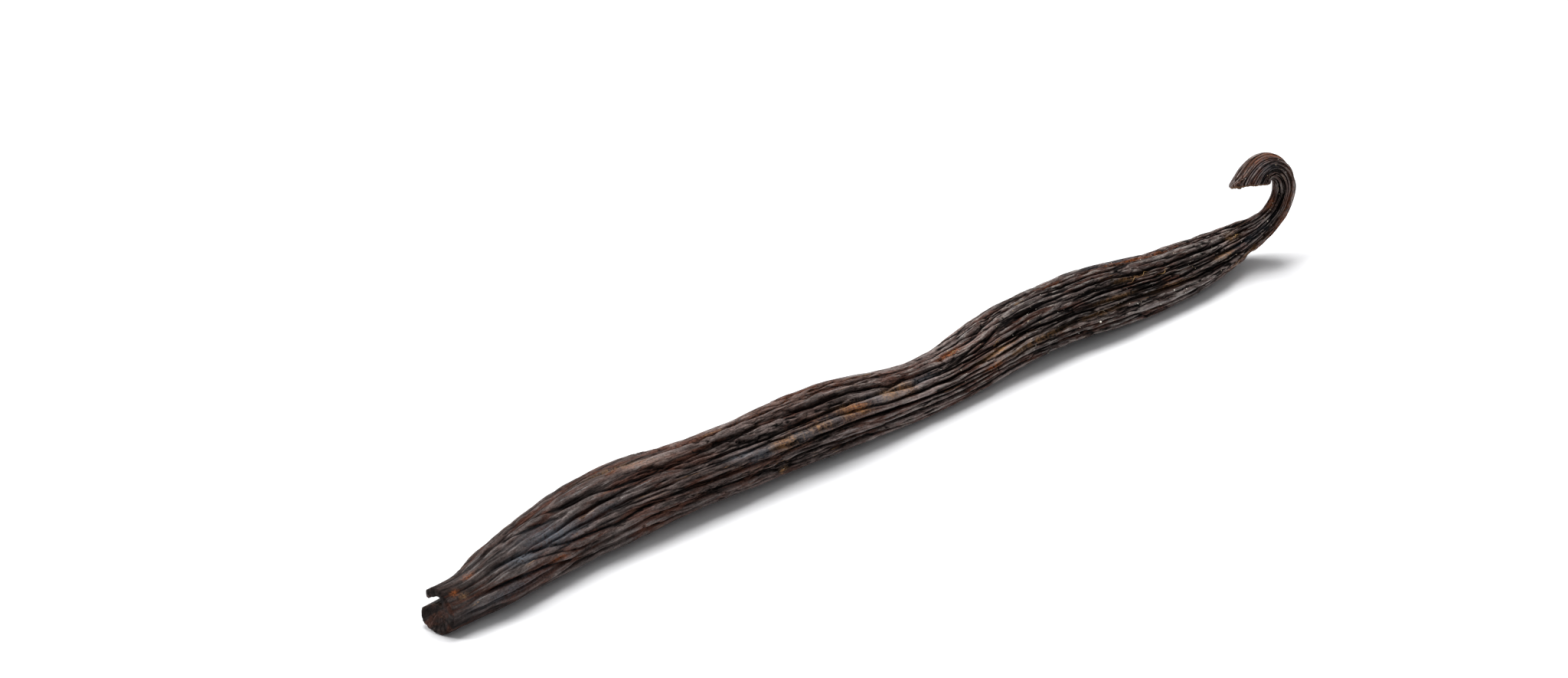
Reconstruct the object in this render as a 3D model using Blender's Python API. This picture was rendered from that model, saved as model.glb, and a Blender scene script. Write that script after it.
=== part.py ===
"""A cured vanilla bean: one dried pod, lying on its flattened underside.

The pod is a loft. Rings of points are strung along a smooth spine, from the blunt blossom end to the
curled stem end. Each ring is a rounded triangle cut by lengthwise furrows, and a Boolean then opens the
little mouth where the blossom end has split. +X runs along the pod from the blossom end to the stem,
+Z is up, and the floor is at Z = 0. The origin is the middle of the pod's box, on the floor.
"""
import math

import bmesh
import bpy
import numpy as np

MM = 0.001

# The middle of the pod's box, measured from the blossom end, which the origin is moved to
BOX_MIDDLE = (74.3, 2.5)

# The spine seen from above: distance along the pod and its bow to the side, in millimetres
BOW = ((0.0, -0.7), (5.0, -0.45), (14.0, 1.2), (22.0, 2.6), (32.0, 2.9), (45.0, 2.0), (57.0, 1.6),
       (67.0, 1.0), (76.0, 0.3), (84.0, 0.1), (92.0, 0.8), (100.0, 1.4), (108.0, 1.2), (118.0, 0.4),
       (130.0, -0.3), (142.0, -0.3))
# How steeply the spine climbs and curls over: distance along the pod and pitch in degrees
PITCH = ((126.0, 0.0), (131.0, 0.3), (136.0, 1.5), (140.5, 7.5), (143.5, 20.0), (146.0, 38.0),
         (148.4, 57.0), (150.5, 77.0), (152.4, 100.0), (154.0, 127.0), (155.4, 156.0), (156.7, 188.0),
         (157.9, 218.0), (158.9, 238.0), (159.8, 250.0))
# The hook swings out of line with the body: distance along the pod and heading in degrees
SWING = ((136.0, 0.0), (140.0, -5.0), (143.5, -17.0), (147.5, -25.0), (154.0, -24.0), (159.8, -15.0))
LENGTH = 159.8
SPINE_STEP = 0.1

# The pod's girth: distance along it, width across and height, in millimetres
GIRTH = ((0.0, 5.6, 5.3), (3.5, 5.7, 5.3), (8.0, 7.5, 6.1), (14.0, 9.2, 6.7), (21.0, 10.3, 7.3),
         (32.0, 11.1, 8.0), (45.0, 10.4, 7.2), (57.0, 10.5, 7.2), (66.0, 10.6, 7.3), (76.0, 9.3, 6.4),
         (84.0, 9.0, 6.1), (92.0, 9.4, 6.4), (99.0, 10.1, 6.9), (106.0, 10.3, 7.1), (113.0, 10.6, 7.4),
         (120.0, 10.0, 7.0), (130.0, 8.9, 6.2), (137.5, 7.1, 5.4), (142.8, 5.0, 4.3), (146.8, 3.6, 3.4),
         (150.7, 3.2, 3.1), (154.4, 3.4, 3.3), (156.8, 4.2, 4.0), (158.9, 5.1, 4.7), (159.8, 5.3, 4.9))
CORNER_SWELL = 0.07

# Height of the underside above the floor, in millimetres: below zero the pod is pressed flat against it
UNDERSIDE = ((0.0, 0.12), (10.0, 0.1), (22.0, -0.22), (36.0, 0.05), (50.0, 0.25), (64.0, 0.05),
             (75.0, -0.22), (86.0, 0.0), (98.0, 0.22), (110.0, 0.0), (120.0, -0.22), (128.0, -0.1))
LIFT_START = 128.0

# Each end closes over a rim into a shallow dish: share of the girth, and depth below the rim
BLOSSOM_DISH = ((0.94, 0.0), (0.68, 0.12), (0.36, 0.34), (0.0, 0.4))
STEM_DISH = ((0.93, 0.0), (0.74, 0.35), (0.4, 0.5), (0.0, 0.3))
RIM_ROUNDING = 0.35
# Neither end is cut square: angle round the rim in degrees, and how far it is moved along the spine
BLOSSOM_SKEW = ((0.0, 0.6), (20.0, 0.55), (40.0, 0.0), (60.0, -0.4), (90.0, -0.15), (180.0, -0.2),
                (270.0, -0.75), (315.0, -0.55), (345.0, 0.0))
STEM_SKEW = ((0.0, 1.6), (45.0, 0.5), (90.0, -0.5), (135.0, -0.7), (180.0, -0.55), (215.0, -0.1),
             (270.0, 1.2), (315.0, 1.8))
SKEW_REACH = 2.6

# Furrows, which fade towards the blossom end with the ridges between them
FURROWS = 18
FURROW_SEED = 11
FURROW_HALF_WIDTH = 0.27
FURROW_DEPTH = ((0.0, 0.05), (3.0, 0.16), (9.0, 0.34), (30.0, 0.42), (70.0, 0.42), (110.0, 0.46),
                (140.0, 0.36), (148.0, 0.24), (159.8, 0.3))
FURROW_JITTER = 0.15
FURROW_WANDER = 0.12
FURROW_TWIST = math.radians(14.0)
RIDGE_UNEVENNESS = 0.11
SMOOTH_END = 8.0

# Broad folds, each in the middle at a distance along the pod and an angle round it in degrees, where 0
# is +Y and 90 is up, with its half length in millimetres, half width in degrees and height
FOLDS = ((62.0, 150.0, 19.0, 15.0, 0.5), (60.0, 118.0, 20.0, 14.0, -0.3), (66.0, 182.0, 18.0, 14.0, -0.3),
         (22.0, 128.0, 12.0, 24.0, -0.3), (24.0, 170.0, 14.0, 13.0, 0.25), (84.0, 66.0, 6.0, 16.0, -0.35),
         (110.0, 140.0, 16.0, 22.0, -0.25), (118.0, 188.0, 18.0, 13.0, 0.3), (42.0, 20.0, 20.0, 17.0, -0.5),
         (95.0, 350.0, 22.0, 18.0, -0.45), (100.0, 40.0, 16.0, 14.0, 0.35), (30.0, 330.0, 14.0, 14.0, 0.3),
         (158.3, 268.0, 1.2, 45.0, -0.65), (160.3, 268.0, 0.9, 26.0, 1.6), (159.8, 20.0, 1.2, 20.0, 0.3))

# The split at the blossom end, a crescent slot that falls to the far side. Each slice is a distance
# towards that side, how far in the slot runs there, and how far it opens above and below its middle
MOUTH_SLICES = ((-0.75, 0.8, 0.08, 0.08), (-0.6, 1.1, 0.28, 0.5), (-0.25, 1.5, 0.4, 1.0),
                (0.15, 1.9, 0.48, 1.1), (0.55, 2.3, 0.5, 0.65), (1.2, 2.9, 0.52, 0.42),
                (2.0, 3.7, 0.58, 0.32), (2.8, 4.2, 0.64, 0.3), (6.0, 4.4, 0.7, 0.3))
MOUTH_FRONT = -1.5
MOUTH_HEIGHT = 3.93
MOUTH_FALL = math.radians(-31.0)
MOUTH_FLOOR_POWER = 0.6
MOUTH_STEPS = 8

BODY_RING_STEP = 2.05
HOOK_RING_STEP = 0.75
HOOK_RINGS_FROM = 140.0

POD_COLOUR = (0.045, 0.028, 0.022, 1.0)
POD_ROUGHNESS = 0.48


def natural_spline(knots, values, where):
    """Read the natural cubic spline through the given knots at each of the places in where."""
    x = np.asarray(knots, float)
    y = np.asarray(values, float)
    gap = np.diff(x)
    slope = np.diff(y) / gap
    matrix = np.eye(len(x))
    right = np.zeros(len(x))
    for i in range(1, len(x) - 1):
        matrix[i, i - 1:i + 2] = gap[i - 1], 2.0 * (gap[i - 1] + gap[i]), gap[i]
        right[i] = 6.0 * (slope[i] - slope[i - 1])
    bend = np.linalg.solve(matrix, right)
    at = np.clip(where, x[0], x[-1])
    i = np.clip(np.searchsorted(x, at) - 1, 0, len(x) - 2)
    left = (x[i + 1] - at) / gap[i]
    rest = 1.0 - left
    bow = (left ** 3 - left) * bend[i] + (rest ** 3 - rest) * bend[i + 1]
    return left * y[i] + rest * y[i + 1] + bow * gap[i] ** 2 / 6.0


def column(table, index):
    """One column of a table of stations."""
    return [row[index] for row in table]


def girth(along):
    """The pod's half width and half height at each distance along it."""
    stations = column(GIRTH, 0)
    width = natural_spline(stations, column(GIRTH, 1), along)
    height = natural_spline(stations, column(GIRTH, 2), along)
    return width / 2.0, height / 2.0


def unit(vectors):
    """Each row made one long."""
    return vectors / np.linalg.norm(vectors, axis=-1, keepdims=True)


class Spine:
    """The pod's middle line, with a frame carried along it that starts upright and never spins."""

    def __init__(self):
        self.along = np.arange(0.0, LENGTH + SPINE_STEP / 2.0, SPINE_STEP)
        bow = natural_spline(column(BOW, 0), column(BOW, 1), self.along)
        swing = natural_spline(column(SWING, 0), column(SWING, 1), self.along)
        heading = np.arctan(np.gradient(bow, self.along)) + np.radians(swing)
        pitch = np.radians(natural_spline(column(PITCH, 0), column(PITCH, 1), self.along))
        steps = np.stack([np.cos(pitch) * np.cos(heading), np.cos(pitch) * np.sin(heading),
                          np.sin(pitch)], axis=1) * SPINE_STEP
        middle = np.vstack([np.zeros(3), np.cumsum((steps[1:] + steps[:-1]) / 2.0, axis=0)])
        resting = np.minimum(self.along, LIFT_START)
        underside = natural_spline(column(UNDERSIDE, 0), column(UNDERSIDE, 1), resting)
        middle[:, 2] += girth(resting)[1] * (1.0 - CORNER_SWELL) + underside
        middle[:, :2] -= BOX_MIDDLE
        self.middle = middle
        self.forward = unit(np.gradient(middle, axis=0))
        up = np.zeros_like(middle)
        up[0] = 0.0, 0.0, 1.0
        for i in range(len(up)):
            carried = up[max(i - 1, 0)]
            across = carried - self.forward[i] * (carried @ self.forward[i])
            up[i] = across / np.linalg.norm(across)
        self.up = up
        self.side = np.cross(self.up, self.forward)

    def read(self, values, along):
        """A row of values for each distance along the pod."""
        return np.stack([np.interp(along, self.along, values[:, i]) for i in range(3)], axis=1)


def furrow_lines(along, rng):
    """The angle round the pod of every furrow, one row for each ring."""
    pitch = 2.0 * math.pi / FURROWS
    angles = np.empty((len(along), FURROWS))
    for k in range(FURROWS):
        start = pitch * (k + rng.uniform(-FURROW_JITTER, FURROW_JITTER))
        wave = rng.uniform(26.0, 60.0)
        phase = rng.uniform(0.0, 2.0 * math.pi)
        sway = FURROW_WANDER * pitch * np.sin(2.0 * math.pi * along / wave + phase)
        angles[:, k] = start + sway + FURROW_TWIST * along / LENGTH
    return angles


def furrow_depths(along, rng):
    """How deep each furrow is at each ring: furrows fade in and out along the pod."""
    usual = natural_spline(column(FURROW_DEPTH, 0), column(FURROW_DEPTH, 1), along)
    depths = np.empty((len(along), FURROWS))
    for k in range(FURROWS):
        wave = rng.uniform(30.0, 70.0)
        phase = rng.uniform(0.0, 2.0 * math.pi)
        depths[:, k] = usual * (0.8 + 0.45 * np.sin(2.0 * math.pi * along / wave + phase))
    return depths


def ridge_heights(along, rng):
    """How far each ridge stands above or below the smooth skin at each ring."""
    slimness = np.minimum(girth(along)[1] / 3.0, 1.0) * np.minimum(along / SMOOTH_END, 1.0)
    heights = np.empty((len(along), FURROWS))
    for k in range(FURROWS):
        wave = rng.uniform(24.0, 52.0)
        phase = rng.uniform(0.0, 2.0 * math.pi)
        heights[:, k] = RIDGE_UNEVENNESS * slimness * np.sin(2.0 * math.pi * along / wave + phase)
    return heights


def fold_height(along, angle):
    """The height of the broad folds at each ring and angle."""
    total = np.zeros_like(angle)
    for middle, bearing, half_length, half_width, height in FOLDS:
        reach = np.exp(-((along - middle) / half_length) ** 2)
        turn = np.degrees(angle) - bearing
        turn = (turn + 180.0) % 360.0 - 180.0
        total += height * reach[:, None] * np.exp(-(turn / half_width) ** 2)
    return total


def ring_pattern(along):
    """Angle and radial offset of every point of every ring: each furrow has two banks and a bottom."""
    rng = np.random.default_rng(FURROW_SEED)
    lines = furrow_lines(along, rng)
    depths = furrow_depths(along, rng)
    heights = ridge_heights(along, rng)
    after = np.diff(np.hstack([lines, lines[:, :1] + 2.0 * math.pi]), axis=1)
    before = np.roll(after, 1, axis=1)
    radius = np.mean(girth(along), axis=0)[:, None]
    bank = np.minimum(FURROW_HALF_WIDTH / radius, 0.36 * np.minimum(before, after))
    angles = np.stack([lines - bank, lines, lines + bank], axis=2).reshape(len(along), -1)
    offsets = np.stack([np.roll(heights, 1, axis=1), -depths, heights], axis=2).reshape(len(along), -1)
    return angles, offsets + fold_height(along, angles)


def end_skew(along, angles, share):
    """How far each point is moved along the spine, near the two ends."""
    total = np.zeros_like(angles)
    for table, distance in ((BLOSSOM_SKEW, along), (STEM_SKEW, LENGTH - along)):
        rim = np.interp(np.degrees(angles), column(table, 0), column(table, 1), period=360.0)
        middle = np.mean(column(table, 1))
        skew = middle + (rim - middle) * share[:, None]
        total += skew * np.exp(-(distance / SKEW_REACH) ** 2)[:, None]
    return total


def ring_points(spine, along, share, places):
    """The rings at the given places on the spine, with the relief of the distances along."""
    angles, offsets = ring_pattern(along)
    half_width, half_height = girth(along)
    swell = 1.0 + CORNER_SWELL * np.cos(3.0 * (angles - math.pi / 2.0))
    across = np.cos(angles) * (half_width[:, None] * swell + offsets) * share[:, None]
    upward = np.sin(angles) * (half_height[:, None] * swell + offsets) * share[:, None]
    middle = spine.read(spine.middle, places)[:, None, :]
    side = spine.read(spine.side, places)[:, None, :]
    up = spine.read(spine.up, places)[:, None, :]
    forward = spine.read(spine.forward, places)[:, None, :]
    skew = end_skew(along, angles, share)[:, :, None]
    points = middle + across[:, :, None] * side + upward[:, :, None] * up + skew * forward
    points[:, :, 2] = np.maximum(points[:, :, 2], 0.0)
    return points


def ring_stations():
    """Distance along, share of the girth and place on the spine, for every ring and both dishes."""
    first = RIM_ROUNDING
    last = LENGTH - RIM_ROUNDING
    body = np.linspace(first, HOOK_RINGS_FROM, round((HOOK_RINGS_FROM - first) / BODY_RING_STEP) + 1)
    hook = np.linspace(HOOK_RINGS_FROM, last, round((last - HOOK_RINGS_FROM) / HOOK_RING_STEP) + 1)
    skin = [(s, 1.0, s) for s in np.concatenate([body, hook[1:]])]
    blossom = [(first, share, depth) for share, depth in reversed(BLOSSOM_DISH)]
    stem = [(last, share, LENGTH - depth) for share, depth in STEM_DISH]
    return np.array(blossom + skin + stem)


def build_pod_mesh(spine):
    """The pod's closed skin, before its mouth is cut."""
    stations = ring_stations()
    points = ring_points(spine, stations[:, 0], stations[:, 1], stations[:, 2]) * MM
    count = points.shape[1]
    shape = bmesh.new()
    rings = [[shape.verts.new(point) for point in ring] for ring in points[1:-1]]
    for ring, following in zip(rings, rings[1:]):
        for i in range(count):
            j = (i + 1) % count
            shape.faces.new((ring[i], ring[j], following[j], following[i]))
    for ring, centre in ((rings[0], points[0, 0]), (rings[-1], points[-1, 0])):
        hub = shape.verts.new(centre)
        for i in range(count):
            shape.faces.new((ring[i], ring[(i + 1) % count], hub))
    bmesh.ops.recalc_face_normals(shape, faces=shape.faces)
    bmesh.ops.triangulate(shape, faces=shape.faces, quad_method="SHORT_EDGE")
    mesh = bpy.data.meshes.new("pod")
    shape.to_mesh(mesh)
    shape.free()
    mesh.shade_smooth()
    mesh.set_sharp_from_angle(angle=math.radians(50.0))
    return mesh


def build_mouth_mesh():
    """The crescent that is cut out of the blossom end, from its closed near end to the far side."""
    shape = bmesh.new()
    rings = []
    for y, depth, rise, droop in MOUTH_SLICES:
        inward = np.concatenate([[MOUTH_FRONT], np.linspace(0.0, depth, MOUTH_STEPS)])
        share = inward / depth
        roof = rise * np.sqrt(np.clip(1.0 - np.maximum(share, 0.0) ** 2, 0.0, None))
        floor = -droop * (1.0 - share) ** MOUTH_FLOOR_POWER
        outline = list(zip(inward, roof)) + list(zip(inward, floor))[-2::-1]
        rings.append([shape.verts.new((x * MM, y * MM, z * MM)) for x, z in outline])
    for ring, following in zip(rings, rings[1:]):
        for i in range(len(ring)):
            j = (i + 1) % len(ring)
            shape.faces.new((ring[i], ring[j], following[j], following[i]))
    shape.faces.new(rings[0])
    shape.faces.new(rings[-1])
    bmesh.ops.recalc_face_normals(shape, faces=shape.faces)
    mesh = bpy.data.meshes.new("mouth_cutter")
    shape.to_mesh(mesh)
    shape.free()
    return mesh


def pod_material():
    """Dark, oily brown skin."""
    material = bpy.data.materials.new("pod")
    material.use_nodes = True
    shader = material.node_tree.nodes["Principled BSDF"]
    shader.inputs["Base Color"].default_value = POD_COLOUR
    shader.inputs["Roughness"].default_value = POD_ROUGHNESS
    shader.inputs["Metallic"].default_value = 0.0
    return material


def add_object(name, mesh, collection):
    """Put a mesh in a collection as an object of its own."""
    thing = bpy.data.objects.new(name, mesh)
    collection.objects.link(thing)
    return thing


def add_collection(name):
    """A new collection in the scene."""
    collection = bpy.data.collections.new(name)
    bpy.context.scene.collection.children.link(collection)
    return collection


def main():
    """Build the pod and cut its mouth."""
    for thing in list(bpy.data.objects):
        bpy.data.objects.remove(thing)
    parts = add_collection("vanilla_bean")
    cutters = add_collection("cutters")

    pod = add_object("pod", build_pod_mesh(Spine()), parts)
    pod.data.materials.append(pod_material())

    mouth = add_object("mouth_cutter", build_mouth_mesh(), cutters)
    mouth.location = (-BOX_MIDDLE[0] * MM, -BOX_MIDDLE[1] * MM, MOUTH_HEIGHT * MM)
    mouth.rotation_euler = (MOUTH_FALL, 0.0, 0.0)
    mouth.hide_render = True
    mouth.display_type = "WIRE"

    cut = pod.modifiers.new("mouth", "BOOLEAN")
    cut.operation = "DIFFERENCE"
    cut.solver = "EXACT"
    cut.object = mouth


main()
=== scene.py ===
"""The looks of one cured vanilla bean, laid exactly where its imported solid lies.

The skin is strung on the same spine as the solid and has the same main furrows, folds and split blossom
end. Finer furrows, wrinkles and lumps are added between them, and loose fibres and crystals lie on top.
Lengths are in millimetres unless a name says otherwise. Round the pod, 0 is the +Y side, 90 is up and 180
is the side that the camera sees.
"""
import logging
import math
from dataclasses import dataclass, field
from enum import Enum

import bmesh
import bpy
import numpy as np
from mathutils import Matrix, Vector
from mathutils.kdtree import KDTree


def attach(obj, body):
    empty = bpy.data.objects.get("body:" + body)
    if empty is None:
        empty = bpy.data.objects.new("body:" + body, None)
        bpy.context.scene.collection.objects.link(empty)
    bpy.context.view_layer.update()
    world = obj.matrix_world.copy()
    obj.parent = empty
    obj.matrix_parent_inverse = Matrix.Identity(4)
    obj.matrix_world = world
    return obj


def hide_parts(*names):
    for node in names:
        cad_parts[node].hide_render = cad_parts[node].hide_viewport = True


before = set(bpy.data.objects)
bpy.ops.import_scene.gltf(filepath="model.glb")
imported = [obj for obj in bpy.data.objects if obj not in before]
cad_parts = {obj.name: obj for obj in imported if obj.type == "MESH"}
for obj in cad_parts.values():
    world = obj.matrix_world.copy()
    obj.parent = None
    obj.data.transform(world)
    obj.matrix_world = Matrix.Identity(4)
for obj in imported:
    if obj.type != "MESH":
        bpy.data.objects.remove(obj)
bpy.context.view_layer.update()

log = logging.getLogger("vanilla_bean")

MM = 0.001
FULL_TURN = 2.0 * math.pi
NODE = "pod"
BODY = "root"
LENGTH = 159.8
# Cells of the crack pattern for each millimetre along the pod, and round it.
BROAD_CRACKS = (0.10, 0.85)
FINE_CRACKS = (0.26, 2.1)

Table = tuple[tuple[float, ...], ...]
Colour = tuple[float, float, float]
Socket = bpy.types.NodeSocket


def natural_spline(knots: np.ndarray, values: np.ndarray, where: np.ndarray) -> np.ndarray:
    """Read a natural cubic spline, which stays level beyond its ends.

    Args:
        knots: Where the spline's values are given, in rising order.
        values: The value at each knot.
        where: The places to read it at.

    Returns:
        The spline's value at each place.
    """
    x = np.asarray(knots, float)
    y = np.asarray(values, float)
    gap = np.diff(x)
    slope = np.diff(y) / gap
    matrix = np.eye(len(x))
    right = np.zeros(len(x))
    for i in range(1, len(x) - 1):
        matrix[i, i - 1:i + 2] = gap[i - 1], 2.0 * (gap[i - 1] + gap[i]), gap[i]
        right[i] = 6.0 * (slope[i] - slope[i - 1])
    bend = np.linalg.solve(matrix, right)
    at = np.clip(where, x[0], x[-1])
    i = np.clip(np.searchsorted(x, at) - 1, 0, len(x) - 2)
    left = (x[i + 1] - at) / gap[i]
    rest = 1.0 - left
    bow = (left ** 3 - left) * bend[i] + (rest ** 3 - rest) * bend[i + 1]
    return left * y[i] + rest * y[i + 1] + bow * gap[i] ** 2 / 6.0


def table_spline(table: Table, where: np.ndarray, column: int = 1) -> np.ndarray:
    """Read one column of a table of stations as a smooth curve.

    Args:
        table: Rows that start with a distance along the pod.
        where: The distances to read it at.
        column: Which value of each row to read.

    Returns:
        The value at each distance.
    """
    return natural_spline([row[0] for row in table], [row[column] for row in table], where)


def unit(vectors: np.ndarray) -> np.ndarray:
    """Each row made one long."""
    return vectors / np.linalg.norm(vectors, axis=-1, keepdims=True)


def wander(rng: np.random.Generator, along: np.ndarray, cell: float) -> np.ndarray:
    """A smooth random line that swings about zero.

    Args:
        rng: The seeded source of the numbers.
        along: Distances along the pod.
        cell: The distance between its turning points.

    Returns:
        The line's height at each distance, mostly between -1 and 1.
    """
    knots = np.arange(-cell, LENGTH + 2.0 * cell, cell)
    return natural_spline(knots, rng.uniform(-1.0, 1.0, len(knots)), along)


def patchwork(rng: np.random.Generator, along: np.ndarray, angles: np.ndarray, cell: float,
              around: int) -> np.ndarray:
    """Smooth random heights over the skin, without a seam.

    Args:
        rng: The seeded source of the numbers.
        along: Distances along the pod, one for each row.
        angles: Angles round the pod in radians, rows by columns.
        cell: The length of one cell along the pod.
        around: The number of cells in a full turn.

    Returns:
        Heights between -1 and 1, rows by columns.
    """
    lattice = rng.uniform(-1.0, 1.0, (int(LENGTH / cell) + 3, around))
    x = np.broadcast_to(along[:, None] / cell, angles.shape)
    y = angles / FULL_TURN * around
    i, j = np.floor(x).astype(int), np.floor(y).astype(int)
    fade_x, fade_y = smooth(x - i), smooth(y - j)
    near, far = j % around, (j + 1) % around
    here = lattice[i, near] * (1.0 - fade_y) + lattice[i, far] * fade_y
    ahead = lattice[i + 1, near] * (1.0 - fade_y) + lattice[i + 1, far] * fade_y
    return here * (1.0 - fade_x) + ahead * fade_x


def smooth(share: np.ndarray) -> np.ndarray:
    """A share from 0 to 1 eased at both ends."""
    return share * share * (3.0 - 2.0 * share)


def turned(angles: np.ndarray) -> np.ndarray:
    """Angles in radians brought between minus and plus half a turn."""
    return (angles + math.pi) % FULL_TURN - math.pi


@dataclass(frozen=True)
class Girth:
    """How wide and how high the pod is along its length: rows of distance, width and height."""

    stations: Table = (
        (0.0, 5.6, 5.3), (3.5, 5.7, 5.3), (8.0, 7.5, 6.1), (14.0, 9.2, 6.7), (21.0, 10.3, 7.3),
        (32.0, 11.1, 8.0), (45.0, 10.4, 7.2), (57.0, 10.5, 7.2), (66.0, 10.6, 7.3), (76.0, 9.3, 6.4),
        (84.0, 9.0, 6.1), (92.0, 9.4, 6.4), (99.0, 10.1, 6.9), (106.0, 10.3, 7.1), (113.0, 10.6, 7.4),
        (120.0, 10.0, 7.0), (130.0, 8.9, 6.2), (137.5, 7.1, 5.4), (142.8, 5.0, 4.3), (146.8, 3.6, 3.4),
        (150.7, 3.2, 3.1), (154.4, 3.4, 3.3), (156.8, 4.2, 4.0), (158.9, 5.1, 4.7), (159.8, 5.3, 4.9))
    corner_swell: float = 0.07

    def half_sizes(self, along: np.ndarray) -> tuple[np.ndarray, np.ndarray]:
        """Half the width and half the height at each distance along the pod."""
        return table_spline(self.stations, along, 1) / 2.0, table_spline(self.stations, along, 2) / 2.0

    def radius(self, along: np.ndarray) -> np.ndarray:
        """The mean radius at each distance along the pod."""
        return np.mean(self.half_sizes(along), axis=0)

    def slimness(self, along: np.ndarray) -> np.ndarray:
        """1 along the body, and less where the pod is too slim for full relief."""
        return np.minimum(self.half_sizes(along)[1] / 3.0, 1.0)


@dataclass
class Spine:
    """The pod's middle line, with a frame carried along it that starts upright and never spins.

    Every row of its tables starts with a distance along the pod. The second value is how far the line
    bows to the side, how steeply it climbs, how far it turns aside, or how high the underside runs above
    the floor, which is below 0 where the pod is pressed flat.
    """

    girth: Girth
    box_middle: tuple[float, float] = (74.3, 2.5)
    bow: Table = (
        (0.0, -0.7), (5.0, -0.45), (14.0, 1.2), (22.0, 2.6), (32.0, 2.9), (45.0, 2.0), (57.0, 1.6),
        (67.0, 1.0), (76.0, 0.3), (84.0, 0.1), (92.0, 0.8), (100.0, 1.4), (108.0, 1.2), (118.0, 0.4),
        (130.0, -0.3), (142.0, -0.3))
    pitch_degrees: Table = (
        (126.0, 0.0), (131.0, 0.3), (136.0, 1.5), (140.5, 7.5), (143.5, 20.0), (146.0, 38.0), (148.4, 57.0),
        (150.5, 77.0), (152.4, 100.0), (154.0, 127.0), (155.4, 156.0), (156.7, 188.0), (157.9, 218.0),
        (158.9, 238.0), (159.8, 250.0))
    swing_degrees: Table = (
        (136.0, 0.0), (140.0, -5.0), (143.5, -17.0), (147.5, -25.0), (154.0, -24.0), (159.8, -15.0))
    underside: Table = (
        (0.0, 0.12), (10.0, 0.1), (22.0, -0.22), (36.0, 0.05), (50.0, 0.25), (64.0, 0.05), (75.0, -0.22),
        (86.0, 0.0), (98.0, 0.22), (110.0, 0.0), (120.0, -0.22), (128.0, -0.1))
    lift_start: float = 128.0
    step: float = 0.1

    def __post_init__(self) -> None:
        """Trace the middle line and carry the frame along it."""
        self.along = np.arange(0.0, LENGTH + self.step / 2.0, self.step)
        bow = table_spline(self.bow, self.along)
        swing = np.radians(table_spline(self.swing_degrees, self.along))
        heading = np.arctan(np.gradient(bow, self.along)) + swing
        pitch = np.radians(table_spline(self.pitch_degrees, self.along))
        steps = np.stack([np.cos(pitch) * np.cos(heading), np.cos(pitch) * np.sin(heading),
                          np.sin(pitch)], axis=1) * self.step
        self.middle = np.vstack([np.zeros(3), np.cumsum((steps[1:] + steps[:-1]) / 2.0, axis=0)])
        resting = np.minimum(self.along, self.lift_start)
        half_height = self.girth.half_sizes(resting)[1]
        self.middle[:, 2] += half_height * (1.0 - self.girth.corner_swell)
        self.middle[:, 2] += table_spline(self.underside, resting)
        self.middle[:, :2] -= self.box_middle
        self.forward = unit(np.gradient(self.middle, axis=0))
        self.up = np.tile([0.0, 0.0, 1.0], (len(self.along), 1))
        for i, forward in enumerate(self.forward):
            carried = self.up[max(i - 1, 0)]
            self.up[i] = unit(carried - forward * (carried @ forward))
        self.side = np.cross(self.up, self.forward)

    def read(self, values: np.ndarray, along: np.ndarray) -> np.ndarray:
        """A row of values for each distance along the pod."""
        return np.stack([np.interp(along, self.along, values[:, i]) for i in range(3)], axis=1)


@dataclass(frozen=True)
class Fold:
    """A broad swelling or hollow of the skin.

    Its place is a distance along the pod and a bearing round it in degrees.
    """

    middle: float
    bearing: float
    half_length: float
    half_width_degrees: float
    height: float

    def heights(self, along: np.ndarray, angles: np.ndarray) -> np.ndarray:
        """Its height all over the skin.

        Args:
            along: Distances along the pod, one for each row.
            angles: Angles round the pod in radians, rows by columns.

        Returns:
            The heights, rows by columns.
        """
        reach = np.exp(-((along - self.middle) / self.half_length) ** 2)
        turn = np.degrees(turned(angles - math.radians(self.bearing)))
        return self.height * reach[:, None] * np.exp(-(turn / self.half_width_degrees) ** 2)


@dataclass(frozen=True)
class FurrowFamily:
    """Short furrows of one kind, scattered between the main ones.

    Their middles lie within reach, and their lengths and depths within the ranges given. The slant is how
    many ridges they tend to cross, and the waver how far they sway.
    """

    count: int
    seed: int
    reach: tuple[float, float]
    lengths: tuple[float, float]
    depths: tuple[float, float]
    half_width: float
    slant: float
    waver: float


@dataclass(frozen=True)
class CrossCrease:
    """A crease that runs across the ridges: its place, how far it reaches round, and how far it slants."""

    middle: float
    bearing: float
    half_width_degrees: float
    depth: float
    half_breadth: float
    slant: float


@dataclass(frozen=True)
class DrawnFurrow:
    """A furrow of its own course: distances along the pod and its bearings round it in degrees."""

    path: Table
    depth: float
    half_width: float
    taper: float = 4.0


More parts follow.
